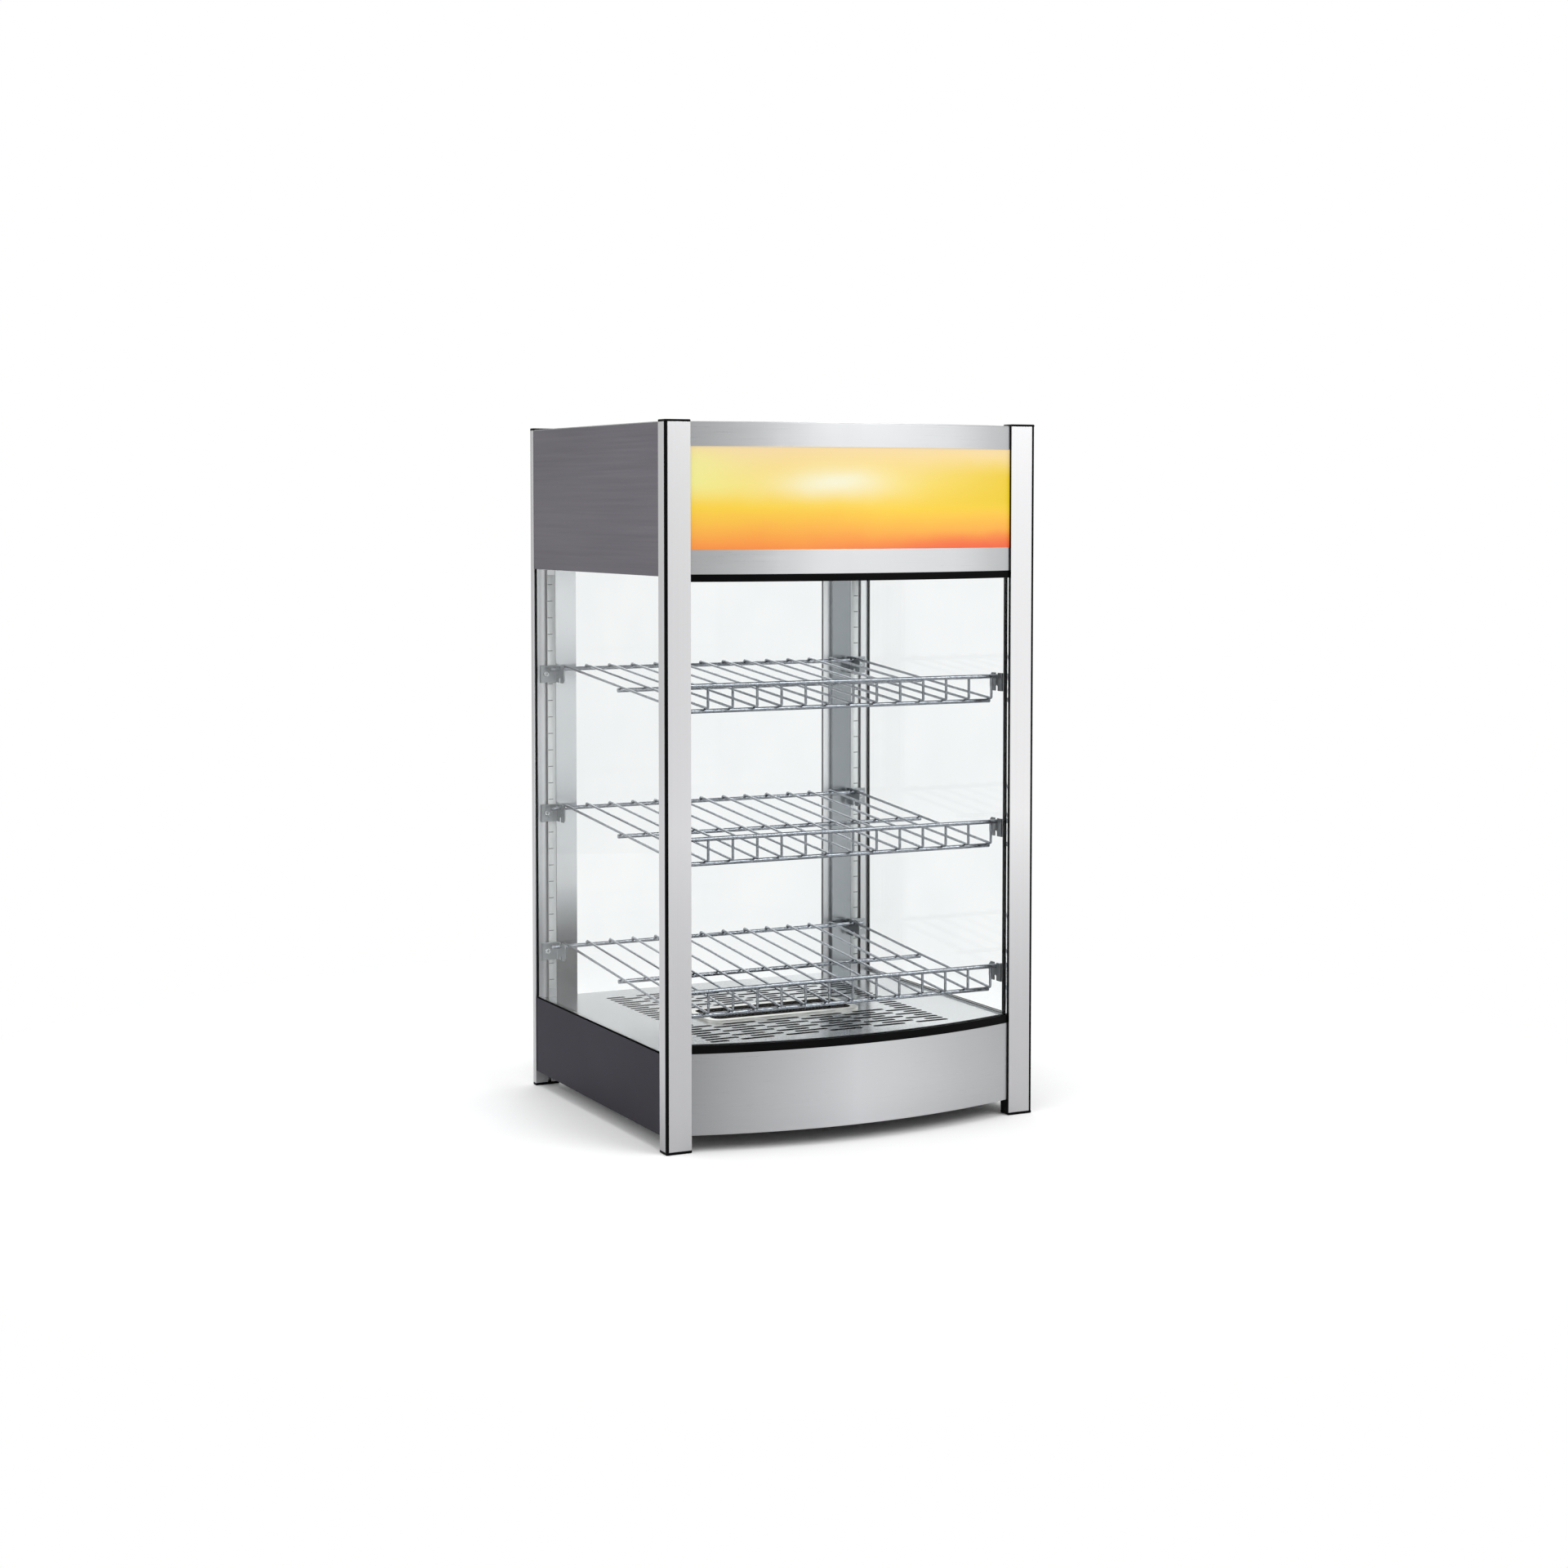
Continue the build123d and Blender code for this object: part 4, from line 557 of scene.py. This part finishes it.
# The jambs are one steel: the left with painted shade low down, the right a darker copy in painted shade
add_look("left_jamb_painted_shade", brushed, "cfd2d4", "eceef0", ALONG_Z, 0.2, sweep=JAMB_PAINTED_SHADE)
add_look("right_jamb_painted_shade", brushed, "8b9094", "a6aaad", ALONG_Z, 0.2)
add_look("floor_steel", brushed, "d2d5d7", "e4e6e8", FLAT_ALONG_X, 0.17)
add_look("dull_steel", brushed, "2b2c2d", "3a3b3c", EVERY_WAY, 0.6)
# Brackets and screws carry painted shade on the front ones
add_look("zinc_steel", brushed, "8e9295", "b4b8ba", EVERY_WAY, 0.3, sweep=BRACKET_PAINTED_SHADE)
add_look("screw_steel", brushed, "c4c7c9", "dfe1e2", EVERY_WAY, 0.16, sweep=BRACKET_PAINTED_SHADE)
add_look("element_steel", brushed, "2c2826", "4a433e", (30, 500, 500), 0.55)
add_look("brass", brushed, "b08a45", "cfab66", (300, 20, 300), 0.35)
add_look("black_plastic", moulded, "020203", "060607", 0.42, shine=0.05)
add_look("control_black", moulded, "17181a", "222426", 0.38)
add_look("black_rubber", moulded, "0a0a0b", "131315", 0.6, shine=0.12)
add_look("cream_plastic", moulded, "cfc9b8", "dcd7c8", 0.45)
add_look("red_plastic", moulded, "a8140f", "c21f17", 0.25, coat=0.4)
add_look("magnet", moulded, "2a2625", "3a3534", 0.7)
add_look("white_lamp", moulded, "eeeeea", "f7f7f4", 0.35)
add_look("tape", moulded, "e4e6e5", "f0f1f0", 0.4)
add_look("tick_ink", moulded, "34373a", "484c50", 0.5)
for paint in (
    dark_steel,
    slotted_steel,
    post_aluminium,
    chrome_wire,
    tray_steel,
    pan_black,
    clear_glass,
    light_sheet,
):
    add_look(paint.__name__, paint)

# The CAD nodes wear the look of their slot, apart from these
OWN_LOOKS = {
    "base_front_panel": "shaded_base_steel",
    "base_bottom_plate": "dull_steel",
    "ceiling_plate": "floor_steel",
    "rear_left_jamb": "left_jamb_painted_shade",
    "rear_right_jamb": "right_jamb_painted_shade",
    "thermostat_knob": "control_black",
    "switch_housings": "control_black",
    "lamp_rocker": "control_black",
    "cable_gland": "control_black",
}
for name, node in NODES.items():
    node.data.materials.clear()
    node.data.materials.append(looks[OWN_LOOKS.get(name, SLOT_OF[name])])


# Softened edges on the CAD nodes: their corners catch the light, and curved faces shade smoothly
WELD = 0.01 * MM
SHARP = radians(28)
SOFT_EDGES = {
    "post_aluminium": 0.4 * MM,
    "black_plastic": 0.3 * MM,
    "front_steel": 0.25 * MM,
    "dark_steel": 0.25 * MM,
    "side_steel": 0.25 * MM,
    "clear_glass": 0.4 * MM,
    "zinc_steel": 0.4 * MM,
    "tray_steel": 1.2 * MM,
    "cream_plastic": 0.4 * MM,
    "red_plastic": 0.3 * MM,
}
EDGE_STEPS = 2
TRAY_EDGE_STEPS = 4


def even_normals(piece):
    """Keeps flat faces flat where they meet a rounding."""
    piece.modifiers.new("normals", "WEIGHTED_NORMAL").keep_sharp = True


def soften(node, width, steps):
    """Rounds the sharp edges of a CAD node, without a change to its mesh."""
    for polygon in node.data.polygons:
        polygon.use_smooth = True
    node.modifiers.new("weld", "WELD").merge_threshold = WELD
    bevel = node.modifiers.new("bevel", "BEVEL")
    bevel.width = width
    bevel.segments = steps
    bevel.limit_method = "ANGLE"
    bevel.angle_limit = SHARP
    even_normals(node)


for name, node in NODES.items():
    if SLOT_OF[name] in SOFT_EDGES:
        soften(node, SOFT_EDGES[SLOT_OF[name]], TRAY_EDGE_STEPS if name == "water_tray" else EDGE_STEPS)


def add_piece(name, data, look, body):
    """Adds a piece, dressed and riding on its body."""
    piece = add_object(name, data)
    piece.data.materials.append(looks[look])
    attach(piece, body)
    return piece


def add_mesh(name, mesh, look, body, smooth=True):
    """Turns an edit mesh into a piece."""
    bmesh.ops.recalc_face_normals(mesh, faces=mesh.faces)
    for face in mesh.faces:
        face.smooth = smooth
    data = bpy.data.meshes.new(name)
    mesh.to_mesh(data)
    mesh.free()
    return add_piece(name, data, look, body)


def add_block(mesh, low, high):
    """Adds a straight-sided block between two corners."""
    made = bmesh.ops.create_cube(mesh, size=1.0)["verts"]
    for vert in made:
        vert.co = Vector([a if c < 0 else b for a, b, c in zip(low, high, vert.co)])
    return made


def add_wall(mesh, first, second):
    """Joins two closed rings of points by faces."""
    count = len(first)
    for step in range(count):
        after = (step + 1) % count
        mesh.faces.new((first[step], first[after], second[after], second[step]))


def add_line(curve, points):
    """Adds a line through the points."""
    line = curve.splines.new("POLY")
    line.points.add(len(points) - 1)
    for point, place in zip(line.points, points):
        point.co = (*place, 1)
    return line


# Wire shelves: round rods and bent round wires in place of the flat-sided ones
RAIL_HALF = 0.212
ROD_HALF = 0.198
ROD = 2.5 * MM
WIRE = 1.5 * MM
WIRE_SMOOTHNESS = 3
WIRE_PITCH = 30 * MM
WIRE_COUNT = 14
WIRE_BEND = 2.8 * MM
WIRE_HOOK = 3.2 * MM
HOOK_BEND = WIRE_HOOK / 3
HOOK_DROP = 2.5 * MM
BEND_STEPS = 6
FENCE_DROP = 29 * MM
NOTCH_REACH = 12 * MM
BOTTOM_ROD_BEHIND = 9.5 * MM
FRONT_RAIL_Y = TRACK_FRONT_Y + NOTCH_REACH
REAR_RAIL_Y = TRACK_BACK_Y - NOTCH_REACH
FENCE_Y = FRONT_RAIL_Y + ROD + WIRE
BOTTOM_ROD_Y = FENCE_Y + BOTTOM_ROD_BEHIND
SLOPE = FENCE_DROP / (REAR_RAIL_Y - BOTTOM_ROD_Y)


def rounded(corners, reach):
    """A line through the corners, with every inner one rounded off this far from it."""
    line = [Vector(corners[0])]
    for before, corner, after in zip(corners, corners[1:], corners[2:]):
        corner = Vector(corner)
        start = corner + (Vector(before) - corner).normalized() * reach
        end = corner + (Vector(after) - corner).normalized() * reach
        for step in range(BEND_STEPS + 1):
            t = step / BEND_STEPS
            line.append((1 - t) ** 2 * start + 2 * t * (1 - t) * corner + t**2 * end)
    return line + [Vector(corners[-1])]


def add_bar(curve, radius, points):
    """Adds a round bar along the points."""
    for point in add_line(curve, points).points:
        point.radius = radius / WIRE


def drop(y):
    """How far the shelf has sloped down from its rear rail."""
    return SLOPE * (REAR_RAIL_Y - y)


def wire_shelf(shelf):
    """Two rails, two rods under the wires, and the wires from the rear rail to the fence's top."""
    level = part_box(f"{shelf}_shelf")[0].z + ROD + FENCE_DROP
    curve = bpy.data.curves.new(f"{shelf}_wire_shelf", "CURVE")
    curve.dimensions = "3D"
    curve.bevel_depth = WIRE
    curve.bevel_resolution = WIRE_SMOOTHNESS
    curve.use_fill_caps = True
    for y in (REAR_RAIL_Y, FRONT_RAIL_Y):
        add_bar(curve, ROD, [(side * RAIL_HALF, y, level) for side in SIDES])
    for y in (MIDDLE_Y, BOTTOM_ROD_Y):
        add_bar(curve, ROD, [(side * ROD_HALF, y, level - drop(y)) for side in SIDES])
    top = level + ROD + WIRE
    behind = REAR_RAIL_Y - WIRE_HOOK
    for number in range(WIRE_COUNT):
        x = (number - (WIRE_COUNT - 1) / 2) * WIRE_PITCH
        corners = [
            (x, REAR_RAIL_Y + WIRE_HOOK, top - HOOK_DROP),
            (x, REAR_RAIL_Y + WIRE_HOOK / 2, top),
            (x, behind, top - drop(behind)),
            (x, FENCE_Y, top - drop(FENCE_Y)),
            (x, FENCE_Y, level),
        ]
        hook = rounded(corners[:4], HOOK_BEND)[:-1]
        add_bar(curve, WIRE, hook + rounded(corners[2:], WIRE_BEND)[1:])
    piece = add_piece(curve.name, curve, "chrome_wire", f"{shelf}_rack")
    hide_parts(f"{shelf}_shelf")


for shelf in SHELVES:
    wire_shelf(shelf)


# Level scales: a thin tape beside each track, with plain ticks
TAPE_INNER = 0.2015
TAPE_OUTER = 0.2105
TAPE_LOW = 0.118
TAPE_HIGH = 0.62
TAPE = 0.12 * MM
TICK = 0.04 * MM
TICK_LENGTH = 6 * MM
TICK_WIDTH = 0.8 * MM
TICK_PITCH = 20 * MM
TICK_COUNT = 25

tapes = bmesh.new()
ticks = bmesh.new()
for side in SIDES:
    for face, inward in ((TRACK_BACK_Y, -1), (TRACK_FRONT_Y, 1)):
        proud = face + inward * TAPE
        add_block(tapes, (side * TAPE_INNER, face, TAPE_LOW), (side * TAPE_OUTER, proud, TAPE_HIGH))
        for number in range(TICK_COUNT):
            z = TAPE_LOW + (number + 0.5) * TICK_PITCH
            start = (side * TAPE_OUTER, proud, z)
            end = (side * (TAPE_OUTER - TICK_LENGTH), proud + inward * TICK, z + TICK_WIDTH)
            add_block(ticks, start, end)
add_mesh("level_scales", tapes, "tape", "case")
add_mesh("level_scale_ticks", ticks, "tick_ink", "case")


# Thermostat: plain ticks round the knob, and a pointer let into its face
DIAL_INNER = 20.5 * MM
DIAL_OUTER = 23.5 * MM
DIAL_STEP = 30
DIAL_RANGE = 270
POINTER_INNER = 5 * MM
POINTER_OUTER = 15 * MM
POINTER_WIDTH = 1.6 * MM

knob_low, knob_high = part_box("thermostat_knob")
knob_middle = (knob_low + knob_high) / 2


def add_mark(mesh, width, inner, outer, behind, front):
    """Adds an upright mark over the knob's middle, between two distances from it."""
    low = (knob_middle.x - width / 2, behind, knob_middle.z + inner)
    high = (knob_middle.x + width / 2, front, knob_middle.z + outer)
    return add_block(mesh, low, high)


panel_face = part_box("control_panel")[1].y
dial = bmesh.new()
for angle in range(0, DIAL_RANGE + 1, DIAL_STEP):
    mark = add_mark(dial, TICK_WIDTH, DIAL_INNER, DIAL_OUTER, panel_face, panel_face + TICK)
    bmesh.ops.rotate(dial, cent=knob_middle, matrix=Matrix.Rotation(radians(angle), 3, "Y"), verts=mark)
add_mesh("thermostat_ticks", dial, "tick_ink", "case")
pointer = bmesh.new()
add_mark(pointer, POINTER_WIDTH, POINTER_INNER, POINTER_OUTER, knob_high.y - TAPE, knob_high.y + TICK)
add_mesh("thermostat_pointer", pointer, "tape", "thermostat")


# Bracket screws: domed heads with a hexagonal socket over the flat-sided ones
HEAD = 3.8 * MM
HEAD_HEIGHT = 2.6 * MM
HEAD_STEPS = 24
SOCKET = 1.5 * MM
SOCKET_FLOOR = 1.2 * MM
BRACKET_FLANGE = 1.75 * MM

# From the head's foot to the middle of its socket's floor: radius, height, and whether it is hexagonal
HEAD_OUTLINE = (
    (HEAD, 0, False),
    (HEAD, 0.4 * HEAD_HEIGHT, False),
    (0.86 * HEAD, 0.78 * HEAD_HEIGHT, False),
    (0.62 * HEAD, HEAD_HEIGHT, False),
    (SOCKET, HEAD_HEIGHT, True),
    (SOCKET, SOCKET_FLOOR, True),
    (0.1 * SOCKET, SOCKET_FLOOR, True),
)


def hexagon(angle):
    """How far a hexagon's side is from its middle, for a corner distance of 1."""
    return cos(pi / 6) / cos((angle + pi / 6) % (pi / 3) - pi / 6)


def add_screw(mesh, x, face, outward, z):
    """Adds a button head that stands on a face; outward is its direction along Y."""
    rings = []
    for radius, height, hexagonal in HEAD_OUTLINE:
        ring = []
        for step in range(HEAD_STEPS):
            a = 2 * pi * step / HEAD_STEPS
            r = radius * hexagon(a) if hexagonal else radius
            ring.append(mesh.verts.new((x + r * cos(a), face + outward * height, z + r * sin(a))))
        rings.append(ring)
    for outer, inner in zip(rings, rings[1:]):
        add_wall(mesh, outer, inner)
    mesh.faces.new(rings[-1])
    mesh.faces.new(rings[0])


def screw_heads(shelf):
    """The four screws of a shelf's brackets."""
    low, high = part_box(f"{shelf}_shelf_fixings")
    mesh = bmesh.new()
    for side in SIDES:
        add_screw(mesh, side * TRACK_X, TRACK_BACK_Y - BRACKET_FLANGE, -1, (low.z + high.z) / 2)
        add_screw(mesh, side * TRACK_X, TRACK_FRONT_Y + BRACKET_FLANGE, 1, (low.z + high.z) / 2)
    even_normals(add_mesh(f"{shelf}_screw_heads", mesh, "screw_steel", f"{shelf}_brackets"))


for shelf in SHELVES:
    screw_heads(shelf)


# Floor plate with round-ended slots in staggered rows round the tray
BOW_RISE = 0.0323
BOW_STEPS = 48
SLOT = 41.5 * MM
SHORT_SLOT = 24 * MM
SLOT_GAP = 14.5 * MM
SLOT_HALF_WIDTH = 3.8 * MM
SLOT_ROW = 12.2 * MM
SLOT_COLUMNS = 5
SLOT_ROWS = 25
ROUND_STEPS = 8
TRAY_MARGIN = 8 * MM
TRAY_RIM = 7 * MM
TRAY_FIT = 0.8 * MM
TRAY_WALL = 1 * MM
WELL_ROUND = 11.5 * MM

# A hair under half the width, so that no two points of a slot coincide
SLOT_ROUND = SLOT_HALF_WIDTH - 0.01 * MM

tray_low, tray_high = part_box("water_tray")
tray_middle = (tray_low + tray_high) / 2
well = (tray_high - tray_low) / 2 - Vector((TRAY_RIM, TRAY_RIM, 0))


def oval(x, y, half_x, half_y, radius):
    """Corner points of a rectangle with round corners."""
    points = []
    for quarter, (sx, sy) in enumerate(((1, 1), (-1, 1), (-1, -1), (1, -1))):
        middle_x = x + sx * (half_x - radius)
        middle_y = y + sy * (half_y - radius)
        for step in range(ROUND_STEPS + 1):
            a = pi / 2 * (quarter + step / ROUND_STEPS)
            points.append((middle_x + radius * cos(a), middle_y + radius * sin(a)))
    return points


def well_outline(margin):
    """The tray's well in plan, grown by a margin."""
    return oval(tray_middle.x, tray_middle.y, well.x + margin, well.y + margin, WELL_ROUND + margin)


def slots():
    """Middles and lengths of the slots: rows start with a short one at one side and then the other."""
    step = SLOT + SLOT_GAP
    edge = (SLOT_COLUMNS * step + SHORT_SLOT) / 2
    for row in range(SLOT_ROWS):
        y = MIDDLE_Y + (row - (SLOT_ROWS - 1) / 2) * SLOT_ROW
        side = SIDES[row % 2]
        yield side * (edge - SHORT_SLOT / 2), y, SHORT_SLOT
        if abs(y - tray_middle.y) < tray_high.y - tray_middle.y + TRAY_MARGIN:
            yield -side * (edge - SHORT_SLOT / 2), y, SHORT_SLOT
        else:
            for number in range(SLOT_COLUMNS):
                yield -side * (edge - SLOT / 2 - number * step), y, SLOT


def floor_outline(back):
    """The floor in plan: full width between the posts, and the bay from the bowed front to the back."""
    radius = (BAY**2 + BOW_RISE**2) / (2 * BOW_RISE)
    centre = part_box("base_front_panel")[0].y + radius
    radius -= SHEET + FIT
    side = BAY - FIT
    reach = asin(side / radius)
    turns = [reach * (2 * step / BOW_STEPS - 1) for step in range(BOW_STEPS + 1)]
    bow = [(radius * sin(t), centre - radius * cos(t)) for t in turns]
    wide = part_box("floor_plate")[1].x
    front = TRACK_FRONT_Y + FIT
    rear = TRACK_BACK_Y - FIT
    right = [(side, front), (wide, front), (wide, rear), (side, rear), (side, back)]
    return bow + right + [(-x, y) for x, y in reversed(right)]


low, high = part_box("floor_plate")
plan = bpy.data.curves.new("floor_plan", "CURVE")
plan.dimensions = "2D"
plan.fill_mode = "BOTH"
plan.extrude = SHEET / 2
outlines = [floor_outline(high.y), well_outline(TRAY_FIT)]
outlines += [oval(x, y, length / 2, SLOT_HALF_WIDTH, SLOT_ROUND) for x, y, length in slots()]
for outline in outlines:
    add_line(plan, [(x, y, 0) for x, y in outline]).use_cyclic_u = True
drawn = bpy.data.objects.new("floor_plan", plan)
plate = bmesh.new()
plate.from_mesh(bpy.data.meshes.new_from_object(drawn))
bpy.data.objects.remove(drawn)
bmesh.ops.translate(plate, verts=plate.verts, vec=(0, 0, high.z - SHEET / 2))
add_block(plate, (-BAY + FIT, high.y - SHEET, low.z), (BAY - FIT, high.y, high.z - SHEET))
piece = add_mesh("slotted_floor", plate, "slotted_steel", "case", smooth=False)
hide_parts("floor_plate")


# Lining of the tray's pan: a thin skin on its bottom and up its walls
LINING = 0.15 * MM

lining = bmesh.new()
outline = well_outline(-TRAY_WALL - LINING)
brim = [lining.verts.new((x, y, tray_high.z - LINING)) for x, y in outline]
bottom = [lining.verts.new((x, y, tray_low.z + TRAY_WALL + LINING)) for x, y in outline]
add_wall(lining, bottom, brim)
lining.faces.new(bottom)
piece = add_mesh("pan_lining", lining, "pan_black", "tray")
skin = piece.modifiers.new("skin", "SOLIDIFY")
skin.thickness = LINING
skin.offset = 0
even_normals(piece)


# Side glass seals: a thin strip round the ends and the foot of each pane, with a lip on its outer face
SEAL_LIP = 0.4 * MM
SEAL_STRIP = 2 * MM


def add_seal(mesh, glass_low, glass_high, outward):
    """Adds the seal of one pane; outward is the direction of its outer face along X."""
    face = glass_low.x if outward < 0 else glass_high.x
    proud = face + outward * SEAL
    front = glass_low.y - SEAL
    back = glass_high.y + SEAL
    foot = glass_low.z - SEAL
    for inner, lip in ((face - outward * SEAL_STRIP, 0), (face, SEAL_LIP)):
        left, right = sorted((inner, proud))
        reach = SEAL + lip
        add_block(mesh, (left, front, foot), (right, front + reach, glass_high.z))
        add_block(mesh, (left, back - reach, foot), (right, back, glass_high.z))
        add_block(mesh, (left, front, foot), (right, back, foot + reach))


seals = bmesh.new()
add_seal(seals, *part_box("left_glass"), -1)
add_seal(seals, *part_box("right_glass"), 1)
piece = add_mesh("thin_glass_seals", seals, "black_rubber", "case")
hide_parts("side_glass_seals")
